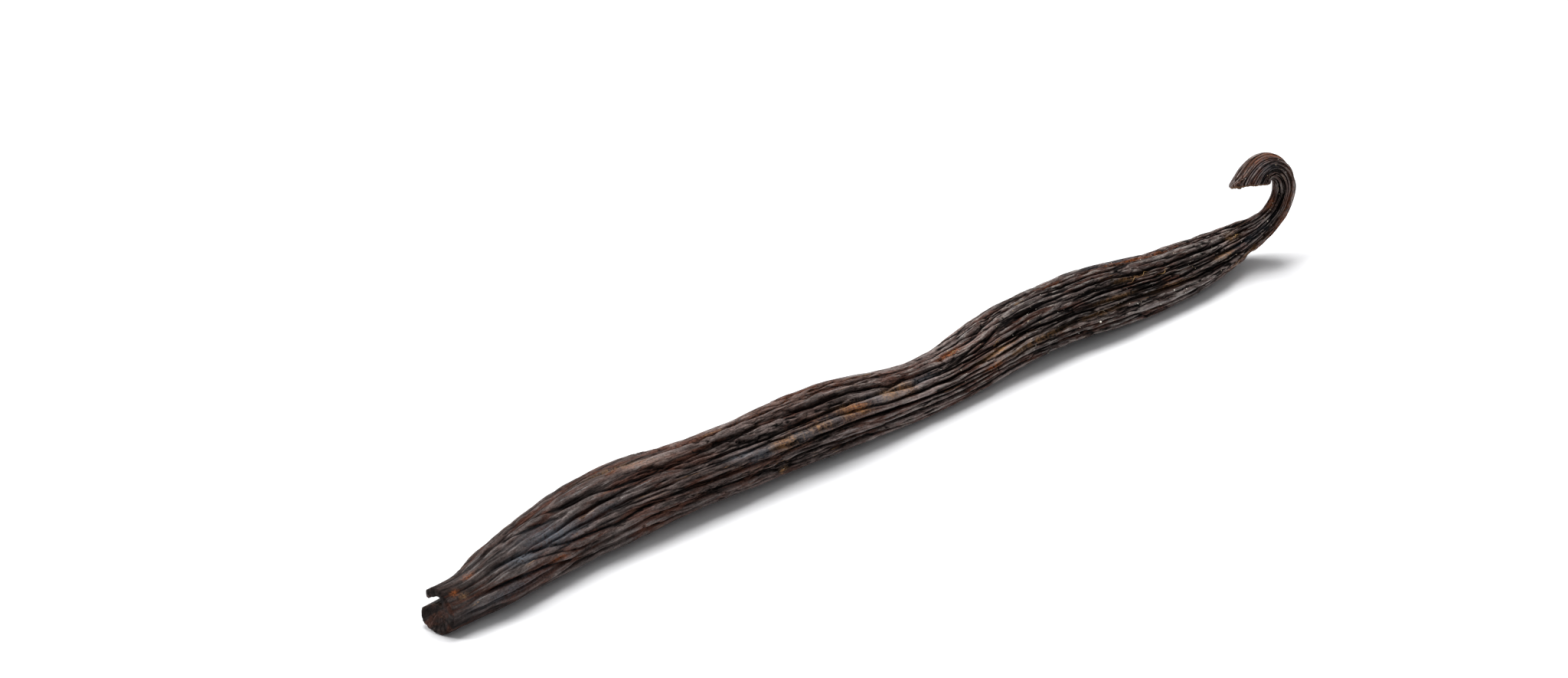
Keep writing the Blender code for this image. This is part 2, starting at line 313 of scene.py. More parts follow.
DRAWN_FURROWS = (
    DrawnFurrow(((3.0, 150.0), (5.1, 155.0), (7.7, 159.0), (10.2, 165.0), (12.4, 170.0), (15.0, 178.0),
                 (17.5, 187.0), (21.0, 196.0)), 0.5, 0.6),
    DrawnFurrow(((5.5, 112.0), (8.1, 119.0), (9.8, 121.0), (13.7, 132.0), (16.2, 141.0), (18.8, 155.0),
                 (21.8, 161.0), (24.4, 165.0), (27.4, 167.0), (31.0, 166.0), (36.0, 168.0)), 0.5, 0.55),
    DrawnFurrow(((9.0, 84.0), (12.4, 90.0), (14.5, 96.0), (16.7, 100.0), (19.3, 107.0), (22.5, 115.0)),
                0.34, 0.5),
    DrawnFurrow(((16.0, 86.0), (19.3, 93.0), (22.7, 101.0), (25.7, 105.0), (28.3, 111.0), (32.1, 116.0),
                 (36.4, 117.0), (42.0, 119.0)), 0.4, 0.5),
    DrawnFurrow(((8.0, 140.0), (12.0, 146.0), (16.0, 158.0), (20.0, 174.0), (25.0, 181.0)), 0.2, 0.45),
    DrawnFurrow(((50.0, 152.0), (53.2, 155.0), (56.6, 158.0), (60.9, 163.0), (64.8, 164.0), (69.1, 165.0),
                 (73.0, 165.0), (78.0, 166.0)), 0.42, 0.42),
    DrawnFurrow(((44.0, 113.0), (46.8, 117.0), (51.1, 123.0), (54.5, 124.0), (58.4, 127.0), (62.7, 125.0),
                 (66.1, 125.0), (70.4, 122.0), (75.5, 109.0), (79.0, 101.0)), 0.36, 0.42),
    DrawnFurrow(((86.0, 98.0), (88.9, 97.0), (90.6, 95.0), (94.0, 82.0), (98.3, 70.0), (103.5, 69.0),
                 (106.1, 80.0), (110.8, 84.0), (115.0, 84.0)), 0.5, 0.45),
    DrawnFurrow(((87.0, 122.0), (90.2, 116.0), (94.5, 105.0), (97.5, 106.0), (100.0, 112.0),
                 (103.5, 115.0), (106.9, 118.0), (110.4, 120.0), (114.2, 120.0), (118.5, 117.0),
                 (124.0, 112.0)), 0.5, 0.42),
    DrawnFurrow(((83.0, 132.0), (86.7, 134.0), (91.0, 134.0), (95.7, 140.0), (100.0, 144.0), (103.9, 150.0),
                 (108.2, 148.0), (111.6, 150.0), (115.9, 151.0), (122.4, 148.0), (128.0, 146.0)), 0.42, 0.4))


@dataclass
class SkinGrid:
    """The skin's rows and columns: angles, radial heights and how deep in a furrow each point is."""

    along: np.ndarray
    angles: np.ndarray
    heights: np.ndarray
    furrow: np.ndarray


@dataclass
class Relief:
    """The furrows, ridges, folds and wrinkles of the skin.

    The first fields, as far as smooth_end, and the folds are the solid's own. The others give what it
    leaves out. Rows of depth and split_depth are a distance along the pod and a furrow's depth there. Rows
    of lumps are a cell's length, the number of cells round the pod, and their height.
    """

    girth: Girth
    furrows: int = 18
    seed: int = 11
    depth: Table = (
        (0.0, 0.05), (3.0, 0.16), (9.0, 0.34), (30.0, 0.42), (70.0, 0.42), (110.0, 0.46), (140.0, 0.36),
        (148.0, 0.24), (159.8, 0.3))
    jitter: float = 0.15
    sway: float = 0.12
    twist: float = math.radians(14.0)
    unevenness: float = 0.11
    smooth_end: float = 8.0
    deepening: float = 1.45
    valley_half_width: float = 0.5
    valley_sharpness: float = 1.7
    crown: float = 0.12
    kink: float = 0.12
    soft_until: float = 58.0
    softened: float = 0.42
    soft_from: float = 10.0
    crest_height: float = 0.13
    crest_reach: int = 8
    drawn: tuple[DrawnFurrow, ...] = DRAWN_FURROWS
    drawn_sway: float = 0.10
    columns_per_furrow: int = 12
    crowding: float = 0.25
    sink: float = 0.05
    broken_height: float = 0.15
    broken_cell: float = 4.6
    broken_around: int = 26
    lumps: Table = ((7.0, 12, 0.06), (2.6, 22, 0.05), (1.1, 44, 0.03))
    split_depth: Table = (
        (0.0, 0.0), (8.0, 0.06), (30.0, 0.12), (60.0, 0.14), (80.0, 0.26), (90.0, 0.36), (128.0, 0.38),
        (140.0, 0.34), (150.0, 0.26), (159.8, 0.26))
    split_half_width: float = 0.3
    split_seed: int = 15
    families: tuple[FurrowFamily, ...] = (
        FurrowFamily(90, 5, (4.0, 150.0), (14.0, 42.0), (0.18, 0.38), 0.34, 0.34, 0.09),
        FurrowFamily(420, 8, (4.0, 152.0), (3.0, 12.0), (0.09, 0.26), 0.24, 0.3, 0.06),
        FurrowFamily(190, 12, (78.0, 150.0), (8.0, 30.0), (0.14, 0.34), 0.19, 0.3, 0.05),
        FurrowFamily(120, 14, (104.0, 148.0), (6.0, 24.0), (0.2, 0.42), 0.17, 0.3, 0.04),
        FurrowFamily(190, 21, (5.0, 60.0), (4.0, 13.0), (0.2, 0.42), 0.26, 0.55, 0.06),
        FurrowFamily(150, 23, (6.0, 66.0), (14.0, 34.0), (0.3, 0.62), 0.2, 0.28, 0.05),
        FurrowFamily(140, 9, (137.0, 161.0), (5.0, 20.0), (0.35, 0.70), 0.14, 0.30, 0.03))
    creases: tuple[CrossCrease, ...] = (
        CrossCrease(53.4, 190.0, 13.0, 0.30, 0.55, 0.9), CrossCrease(81.6, 121.0, 15.0, 0.28, 0.6, -1.1),
        CrossCrease(41.0, 176.0, 9.0, 0.16, 0.55, 0.4), CrossCrease(13.2, 168.0, 9.0, 0.14, 0.5, 0.5),
        CrossCrease(30.5, 196.0, 10.0, 0.15, 0.5, 0.3), CrossCrease(60.0, 40.0, 14.0, 0.22, 0.6, 0.6),
        CrossCrease(98.0, 20.0, 12.0, 0.2, 0.6, -0.5), CrossCrease(24.0, 350.0, 12.0, 0.2, 0.6, 0.5),
        CrossCrease(70.5, 196.0, 9.0, 0.15, 0.5, -0.4), CrossCrease(104.5, 196.0, 10.0, 0.14, 0.5, 0.4))
    folds: tuple[Fold, ...] = (
        Fold(62.0, 150.0, 19.0, 15.0, 0.5), Fold(60.0, 118.0, 20.0, 14.0, -0.3),
        Fold(66.0, 182.0, 18.0, 14.0, -0.3), Fold(22.0, 128.0, 12.0, 24.0, -0.3),
        Fold(24.0, 170.0, 14.0, 13.0, 0.25), Fold(84.0, 66.0, 6.0, 16.0, -0.35),
        Fold(110.0, 140.0, 16.0, 22.0, -0.25), Fold(118.0, 188.0, 18.0, 13.0, 0.3),
        Fold(42.0, 20.0, 20.0, 17.0, -0.5), Fold(95.0, 350.0, 22.0, 18.0, -0.45),
        Fold(100.0, 40.0, 16.0, 14.0, 0.35), Fold(30.0, 330.0, 14.0, 14.0, 0.3),
        Fold(158.3, 268.0, 1.2, 45.0, -0.65), Fold(160.3, 268.0, 0.9, 26.0, 1.6),
        Fold(159.8, 20.0, 1.2, 20.0, 0.3))

    def main_furrows(self, along: np.ndarray) -> tuple[np.ndarray, np.ndarray, np.ndarray]:
        """The main furrows, which are the solid's own.

        Args:
            along: Distances along the pod.

        Returns:
            The angle of every furrow, its depth and the height of the ridge after it, rows by furrows.
        """
        rng = np.random.default_rng(self.seed)
        pitch = FULL_TURN / self.furrows
        lines, depths, ridges = (np.empty((len(along), self.furrows)) for _ in range(3))
        for k in range(self.furrows):
            start = pitch * (k + rng.uniform(-self.jitter, self.jitter))
            wave, phase = rng.uniform(26.0, 60.0), rng.uniform(0.0, FULL_TURN)
            lines[:, k] = start + self.sway * pitch * np.sin(FULL_TURN * along / wave + phase)
        lines += (self.twist * along / LENGTH)[:, None]
        usual = table_spline(self.depth, along)
        for k in range(self.furrows):
            wave, phase = rng.uniform(30.0, 70.0), rng.uniform(0.0, FULL_TURN)
            depths[:, k] = usual * (0.8 + 0.45 * np.sin(FULL_TURN * along / wave + phase))
        slimness = self.girth.slimness(along) * self.calm(along)
        for k in range(self.furrows):
            wave, phase = rng.uniform(24.0, 52.0), rng.uniform(0.0, FULL_TURN)
            ridges[:, k] = self.unevenness * slimness * np.sin(FULL_TURN * along / wave + phase)
        return lines, depths, ridges

    def calm(self, along: np.ndarray) -> np.ndarray:
        """1 along the pod, fading to 0 at the blossom end, which is smooth."""
        return np.minimum(along / self.smooth_end, 1.0)

    def crispness(self, along: np.ndarray) -> np.ndarray:
        """0 towards the blossom end, where the skin is soft and full, and 1 along the rest of the pod."""
        return smooth(np.clip((along - self.soft_from) / (self.soft_until - self.soft_from), 0.0, 1.0))

    def kinked(self, lines: np.ndarray, depths: np.ndarray, along: np.ndarray) -> None:
        """Give the main furrows small kinks and pinches that the solid leaves out.

        Args:
            lines: The furrows' angles, changed in place.
            depths: The furrows' depths, changed in place.
            along: Distances along the pod.
        """
        rng = np.random.default_rng(self.seed + 1)
        radius = self.girth.radius(along)
        reach = self.kink * self.girth.slimness(along)
        for k in range(self.furrows):
            lines[:, k] += reach * (wander(rng, along, 4.2) + 0.6 * wander(rng, along, 1.5)) / radius
            depths[:, k] *= self.deepening + 0.4 * wander(rng, along, 5.5) + 0.2 * wander(rng, along, 2.0)
            strength = self.softened * np.clip(0.8 + 1.1 * wander(rng, along, 9.0), 0.1, 1.8)
            depths[:, k] *= strength + (1.0 - strength) * self.crispness(along)

    def valley(self, distance: np.ndarray, half_width: np.ndarray | float) -> np.ndarray:
        """How far down a furrow's side each point is: 1 at its bottom, 0 on the ridge."""
        return np.maximum(0.0, 1.0 - np.abs(distance) / half_width) ** self.valley_sharpness

    def lay_out(self, along: np.ndarray) -> SkinGrid:
        """The whole relief on a grid whose columns follow the main furrows.

        Args:
            along: Distances along the pod, one for each row.

        Returns:
            The grid.
        """
        lines, depths, ridges = self.main_furrows(along)
        self.kinked(lines, depths, along)
        radius = self.girth.radius(along)[:, None, None]
        following = np.hstack([lines[:, 1:], lines[:, :1] + FULL_TURN])
        gaps = (following - lines)[:, :, None]
        share = np.arange(self.columns_per_furrow) / self.columns_per_furrow
        share = share - self.crowding * np.sin(FULL_TURN * share) / FULL_TURN
        angles = lines[:, :, None] + gaps * share
        half_width = np.minimum(self.valley_half_width, 0.45 * gaps * radius)
        before = self.valley(gaps * share * radius, half_width)
        after = self.valley(gaps * (1.0 - share) * radius, half_width)
        ridge = ridges[:, :, None]
        crown = self.crown * np.sin(math.pi * share) * np.minimum(gaps * radius / 1.5, 1.2)
        depth_after = np.roll(depths, -1, axis=1)[:, :, None]
        heights = ridge + crown - before * (depths[:, :, None] + ridge) - after * (depth_after + ridge)
        furrow = np.maximum(before, after) * np.clip(depths[:, :, None] / 0.3, 0.2, 1.0)
        shape = (len(along), self.furrows * self.columns_per_furrow)
        grid = SkinGrid(along, angles.reshape(shape), heights.reshape(shape), furrow.reshape(shape))
        self.split_ridges(grid, lines)
        for family in self.families:
            self.add_family(grid, family, lines)
        self.break_up(grid)
        for furrow in self.drawn:
            self.draw_furrow(grid, furrow)
        for crease in self.creases:
            self.add_crease(grid, crease)
        self.add_lumps(grid)
        for fold in self.folds:
            grid.heights += fold.heights(along, grid.angles)
        grid.heights -= self.sink
        return grid

    def crests(self, grid: SkinGrid) -> np.ndarray:
        """How far each point stands above the skin beside it.

        Args:
            grid: The finished relief.

        Returns:
            1 on a sharp crest and -1 in a gap, rows by columns.
        """
        shifts = range(-self.crest_reach, self.crest_reach + 1)
        beside = np.mean([np.roll(grid.heights, shift, axis=1) for shift in shifts], axis=0)
        return np.clip((grid.heights - beside) / self.crest_height, -1.0, 1.0)

    def draw_furrow(self, grid: SkinGrid, furrow: DrawnFurrow) -> None:
        """Cut one furrow that has a course of its own.

        Args:
            grid: The skin, changed in place.
            furrow: The furrow to cut.
        """
        start, end = furrow.path[0][0], furrow.path[-1][0]
        rows = np.flatnonzero((grid.along > start) & (grid.along < end))
        along = grid.along[rows]
        radius = self.girth.radius(along)
        rng = np.random.default_rng(round(start * 10.0))
        sway = self.drawn_sway * wander(rng, along, 2.8) / radius
        angle = np.radians(table_spline(furrow.path, along)) + sway
        distance = turned(grid.angles[rows] - angle[:, None]) * radius[:, None]
        window = smooth(np.clip(np.minimum(along - start, end - along) / furrow.taper, 0.0, 1.0))
        cut = self.valley(distance, furrow.half_width) * window[:, None]
        grid.heights[rows] -= furrow.depth * cut
        grid.furrow[rows] = np.maximum(grid.furrow[rows], cut)

    def split_ridges(self, grid: SkinGrid, lines: np.ndarray) -> None:
        """Cut a long, thinner furrow near the middle of every ridge.

        Args:
            grid: The skin, changed in place.
            lines: The main furrows' angles.
        """
        rng = np.random.default_rng(self.split_seed)
        along = grid.along
        radius = self.girth.radius(along)
        usual = table_spline(self.split_depth, along) * self.girth.slimness(along)
        following = np.hstack([lines[:, 1:], lines[:, :1] + FULL_TURN])
        for k in range(self.furrows):
            share = 0.5 + 0.13 * wander(rng, along, 11.0) + 0.05 * wander(rng, along, 2.6)
            swell = 1.0 + 0.7 * wander(rng, along, 13.0) + 0.3 * wander(rng, along, 3.0)
            strength = np.clip(swell, 0.0, 1.5)
            angle = lines[:, k] + share * (following[:, k] - lines[:, k])
            distance = turned(grid.angles - angle[:, None]) * radius[:, None]
            cut = self.valley(distance, self.split_half_width)
            depth = (usual * strength)[:, None]
            grid.heights -= depth * cut
            grid.furrow = np.maximum(grid.furrow, cut * np.minimum(depth / 0.28, 1.0))

    def add_family(self, grid: SkinGrid, family: FurrowFamily, lines: np.ndarray) -> None:
        """Cut one family of short furrows.

        Args:
            grid: The skin, changed in place.
            family: The furrows to cut.
            lines: The main furrows' angles, which the short ones run beside.
        """
        rng = np.random.default_rng(family.seed)
        along = grid.along
        radius = self.girth.radius(along)
        slimness = self.girth.slimness(along)
        unrolled = np.hstack([lines - FULL_TURN, lines, lines + FULL_TURN])
        places = np.arange(unrolled.shape[1])
        for _ in range(family.count):
            middle = rng.uniform(*family.reach)
            half_length = rng.uniform(*family.lengths) / 2.0
            place = self.furrows + rng.uniform(0.0, self.furrows)
            slant = rng.normal(0.0, family.slant)
            depth = rng.uniform(*family.depths)
            waver = wander(rng, along, 3.6) + 0.6 * wander(rng, along, 1.4)
            rows = np.flatnonzero(np.abs(along - middle) < half_length)
            if not len(rows):
                continue
            offset = (along[rows] - middle) / half_length
            path = np.clip(place + slant * offset, 0, places[-1])
            angle = np.array([np.interp(p, places, unrolled[row]) for p, row in zip(path, rows)])
            angle += family.waver * 2.0 * waver[rows] / radius[rows]
            distance = turned(grid.angles[rows] - angle[:, None]) * radius[rows, None]
            window = (1.0 - offset ** 2) * slimness[rows] * (0.4 + 0.6 * self.crispness(along[rows]))
            cut = self.valley(distance, family.half_width) * window[:, None]
            grid.heights[rows] -= depth * cut
            grid.furrow[rows] = np.maximum(grid.furrow[rows], cut * min(1.0, depth / 0.24))

    def add_crease(self, grid: SkinGrid, crease: CrossCrease) -> None:
        """Cut one crease across the ridges.

        Args:
            grid: The skin, changed in place.
            crease: The crease to cut.
        """
        turn = turned(grid.angles - math.radians(crease.bearing))
        radius = self.girth.radius(grid.along)[:, None]
        distance = grid.along[:, None] - crease.middle - crease.slant * turn * radius
        reach = np.exp(-(np.degrees(turn) / crease.half_width_degrees) ** 4)
        cut = self.valley(distance, crease.half_breadth) * reach
        grid.heights -= crease.depth * cut
        grid.furrow = np.maximum(grid.furrow, cut * min(1.0, crease.depth / 0.24))

    def break_up(self, grid: SkinGrid) -> None:
        """Break the soft part's long ridges into oblong lumps, with gaps in the furrows between them.

        Args:
            grid: The skin, changed in place.
        """
        rng = np.random.default_rng(self.seed + 3)
        soft = 1.0 - self.crispness(grid.along)[:, None]
        broken = patchwork(rng, grid.along, grid.angles, self.broken_cell, self.broken_around)
        strength = self.girth.slimness(grid.along) * self.calm(grid.along)
        grid.heights += self.broken_height * soft * strength[:, None] * broken
        grid.furrow *= 1.0 - soft * np.clip(0.25 + 0.8 * broken, 0.0, 0.75)

    def add_lumps(self, grid: SkinGrid) -> None:
        """Raise and lower the skin in small soft lumps.

        Args:
            grid: The skin, changed in place.
        """
        rng = np.random.default_rng(self.seed + 2)
        slimness = self.girth.slimness(grid.along)[:, None]
        for cell, around, height in self.lumps:
            grid.heights += height * slimness * patchwork(rng, grid.along, grid.angles, cell, around)


class Tint(Enum):
    """What a local mark on the skin is made of, named as its mesh attribute."""

    GOLD = "gold"
    # a waxy bloom, partly a painted bluish highlight
    SLATE = "slate"
    RUST = "rust"
    SCUFF = "scuff"


@dataclass(frozen=True)
class Mark:
    """A local mark on the skin, at a distance along the pod and a bearing round it in degrees.

    Its drift is how many degrees it turns round the pod for each millimetre along.
    """

    tint: Tint
    middle: float
    bearing: float
    half_length: float
    half_width: float
    strength: float = 1.0
    drift: float = 0.0

    def cover(self, grid: SkinGrid, radius: np.ndarray) -> np.ndarray:
        """How strongly the mark shows at each point of the skin.

        Args:
            grid: The skin's rows and columns.
            radius: The pod's radius at each row.

        Returns:
            A share from 0 to the mark's strength, rows by columns.
        """
        offset = (grid.along - self.middle)[:, None]
        bearing = math.radians(self.bearing) + math.radians(self.drift) * offset
        across = turned(grid.angles - bearing) * radius[:, None]
        return self.strength * np.exp(-(offset / self.half_length) ** 2 - (across / self.half_width) ** 2)


# The slate marks are a waxy bloom, partly a painted bluish highlight.
MARKS = (
    Mark(Tint.SCUFF, 61.0, 145.0, 13.0, 1.3, 1.0, -0.95),
    Mark(Tint.SLATE, 50.2, 154.0, 2.1, 0.75, 1.0), Mark(Tint.SLATE, 47.6, 143.0, 2.2, 0.7, 0.6),
    Mark(Tint.SLATE, 57.0, 149.5, 2.6, 0.8, 0.7), Mark(Tint.SLATE, 61.8, 145.0, 2.4, 0.8, 0.75),
    Mark(Tint.SLATE, 69.8, 134.0, 2.6, 0.9, 0.8), Mark(Tint.SLATE, 77.5, 124.0, 3.0, 0.8, 0.5),
    Mark(Tint.GOLD, 53.6, 151.5, 1.6, 0.6, 0.85), Mark(Tint.GOLD, 59.4, 147.5, 2.0, 0.55, 0.55),
    Mark(Tint.GOLD, 65.6, 140.0, 2.0, 0.8, 1.0), Mark(Tint.RUST, 66.0, 139.0, 1.6, 0.6, 0.55),
    Mark(Tint.GOLD, 72.0, 131.5, 1.5, 0.75, 0.8), Mark(Tint.GOLD, 74.8, 128.5, 1.5, 0.8, 0.85),
    Mark(Tint.SLATE, 17.4, 130.0, 4.2, 1.3, 1.0, 2.4), Mark(Tint.SLATE, 11.4, 132.5, 2.2, 0.65, 1.0, 2.4),
    Mark(Tint.SLATE, 25.0, 137.0, 3.0, 0.6, 0.45), Mark(Tint.SLATE, 8.0, 178.0, 5.0, 0.8, 0.45),
    Mark(Tint.GOLD, 32.0, 88.0, 4.5, 0.5, 0.3, 2.0), Mark(Tint.RUST, 33.5, 96.0, 3.0, 0.35, 0.22, 2.0),
    Mark(Tint.GOLD, 2.5, 136.0, 0.5, 0.32, 0.6), Mark(Tint.RUST, 1.6, 121.0, 0.42, 0.4, 0.9),
    Mark(Tint.RUST, 4.6, 99.0, 0.7, 0.3, 0.7), Mark(Tint.RUST, 16.2, 170.0, 1.2, 0.3, 0.9),
    Mark(Tint.GOLD, 53.0, 203.0, 0.5, 0.35, 1.0), Mark(Tint.RUST, 89.3, 170.5, 1.3, 0.4, 1.0),
    Mark(Tint.GOLD, 91.0, 147.0, 2.6, 0.4, 1.0), Mark(Tint.GOLD, 97.0, 168.0, 5.0, 0.4, 0.75),
    Mark(Tint.GOLD, 90.0, 169.5, 1.0, 0.3, 0.7), Mark(Tint.GOLD, 113.8, 149.0, 2.6, 0.3, 0.7),
    Mark(Tint.GOLD, 110.8, 168.0, 3.0, 0.3, 0.6), Mark(Tint.GOLD, 123.2, 165.0, 3.4, 0.22, 0.55),
    Mark(Tint.GOLD, 118.2, 118.0, 2.6, 0.3, 0.6), Mark(Tint.GOLD, 135.3, 153.0, 1.6, 0.35, 0.9),
    Mark(Tint.RUST, 122.0, 78.0, 8.0, 0.35, 0.5), Mark(Tint.RUST, 108.0, 74.0, 6.0, 0.3, 0.4),
    Mark(Tint.RUST, 85.0, 100.0, 2.2, 0.3, 0.8), Mark(Tint.GOLD, 139.0, 118.0, 1.3, 0.7, 0.5),
    Mark(Tint.GOLD, 139.0, 200.0, 3.0, 0.45, 0.8), Mark(Tint.RUST, 139.5, 208.0, 3.2, 0.4, 0.8),
    Mark(Tint.RUST, 148.6, 92.0, 1.0, 0.5, 0.7), Mark(Tint.RUST, 148.0, 235.0, 6.0, 1.2, 0.5),
    # painted bluish glints near the hook's lip
    Mark(Tint.SLATE, 157.4, 238.0, 1.7, 1.1, 0.5), Mark(Tint.SLATE, 157.2, 196.0, 1.5, 0.5, 0.4),
    Mark(Tint.RUST, 58.0, 76.0, 15.0, 1.5, 0.14), Mark(Tint.RUST, 156.0, 262.0, 3.0, 1.2, 0.5),
    Mark(Tint.SLATE, 142.0, 150.0, 5.0, 0.7, 0.35),
    Mark(Tint.GOLD, 20.0, 40.0, 3.5, 0.6, 0.6), Mark(Tint.SLATE, 70.0, 30.0, 6.0, 0.9, 0.6),
    Mark(Tint.GOLD, 104.0, 330.0, 4.0, 0.6, 0.6), Mark(Tint.SLATE, 118.0, 60.0, 6.0, 0.8, 0.5),
    Mark(Tint.RUST, 58.0, 350.0, 4.5, 0.5, 0.6), Mark(Tint.RUST, 128.0, 20.0, 5.0, 0.4, 0.6))


@dataclass
class Mouth:
    """The split at the blossom end: a crescent slot with fibrous, slightly torn walls.

    Rows of slices are a place across the pod, and how deep the split is there, how high its roof rises and
    how low its floor droops.
    """

    slices: Table = (
        (-0.75, 0.8, 0.08, 0.08), (-0.6, 1.1, 0.28, 0.5), (-0.25, 1.5, 0.4, 1.0), (0.15, 1.9, 0.48, 1.1),
        (0.55, 2.3, 0.5, 0.65), (1.2, 2.9, 0.52, 0.42), (2.0, 3.7, 0.58, 0.32), (2.8, 4.2, 0.64, 0.3),
        (6.0, 4.4, 0.7, 0.3))
    front: float = -1.5
    height: float = 3.93
    fall: float = math.radians(-31.0)
    floor_power: float = 0.6
    steps: int = 14
    slice_step: float = 0.09
    tear: float = 0.05
    seed: int = 21

    def build_cutter(self, spine: Spine) -> bpy.types.Object:
        """The closed body that is cut out of the skin.

        Args:
            spine: The pod's spine, which says where the blossom end is.

        Returns:
            The cutter as an object of its own.
        """
        rng = np.random.default_rng(self.seed)
        near, far = self.slices[0][0], self.slices[-1][0]
        across = np.linspace(near, far, round((far - near) / self.slice_step) + 1)
        table = np.array(self.slices)
        depths, rises, droops = (np.interp(across, table[:, 0], table[:, i]) for i in (1, 2, 3))
        knots = np.arange(near, far + 0.3, 0.3)
        torn_roof, torn_floor = (
            self.tear * natural_spline(knots, rng.uniform(-1.0, 1.0, len(knots)), across)
            for _ in range(2))
        shape = bmesh.new()
        rings = []
        for i, y in enumerate(across):
            inward = np.concatenate([[self.front], np.linspace(0.0, depths[i], self.steps)])
            share = inward / depths[i]
            closed = np.sqrt(np.clip(1.0 - np.maximum(share, 0.0) ** 2, 0.0, None))
            roof = (rises[i] + torn_roof[i] * (i > 0)) * closed
            floor = -(droops[i] + torn_floor[i] * (i > 0)) * (1.0 - share) ** self.floor_power
            outline = list(zip(inward, roof)) + list(zip(inward, floor))[-2::-1]
            rings.append([shape.verts.new((x * MM, y * MM, z * MM)) for x, z in outline])
        for ring, following in zip(rings, rings[1:]):
            for i in range(len(ring)):
                j = (i + 1) % len(ring)
                shape.faces.new((ring[i], ring[j], following[j], following[i]))
        shape.faces.new(rings[0])
        shape.faces.new(rings[-1])
        bmesh.ops.recalc_face_normals(shape, faces=shape.faces)
        for face in shape.faces:
            face.material_index = 1
        mesh = bpy.data.meshes.new("mouth_cutter")
        shape.to_mesh(mesh)
        shape.free()
        cutter = bpy.data.objects.new("mouth_cutter", mesh)
        cutter.matrix_world = Matrix.Translation(
            (-spine.box_middle[0] * MM, -spine.box_middle[1] * MM, self.height * MM)
        ) @ Matrix.Rotation(self.fall, 4, "X")
        bpy.context.scene.collection.objects.link(cutter)
        return cutter


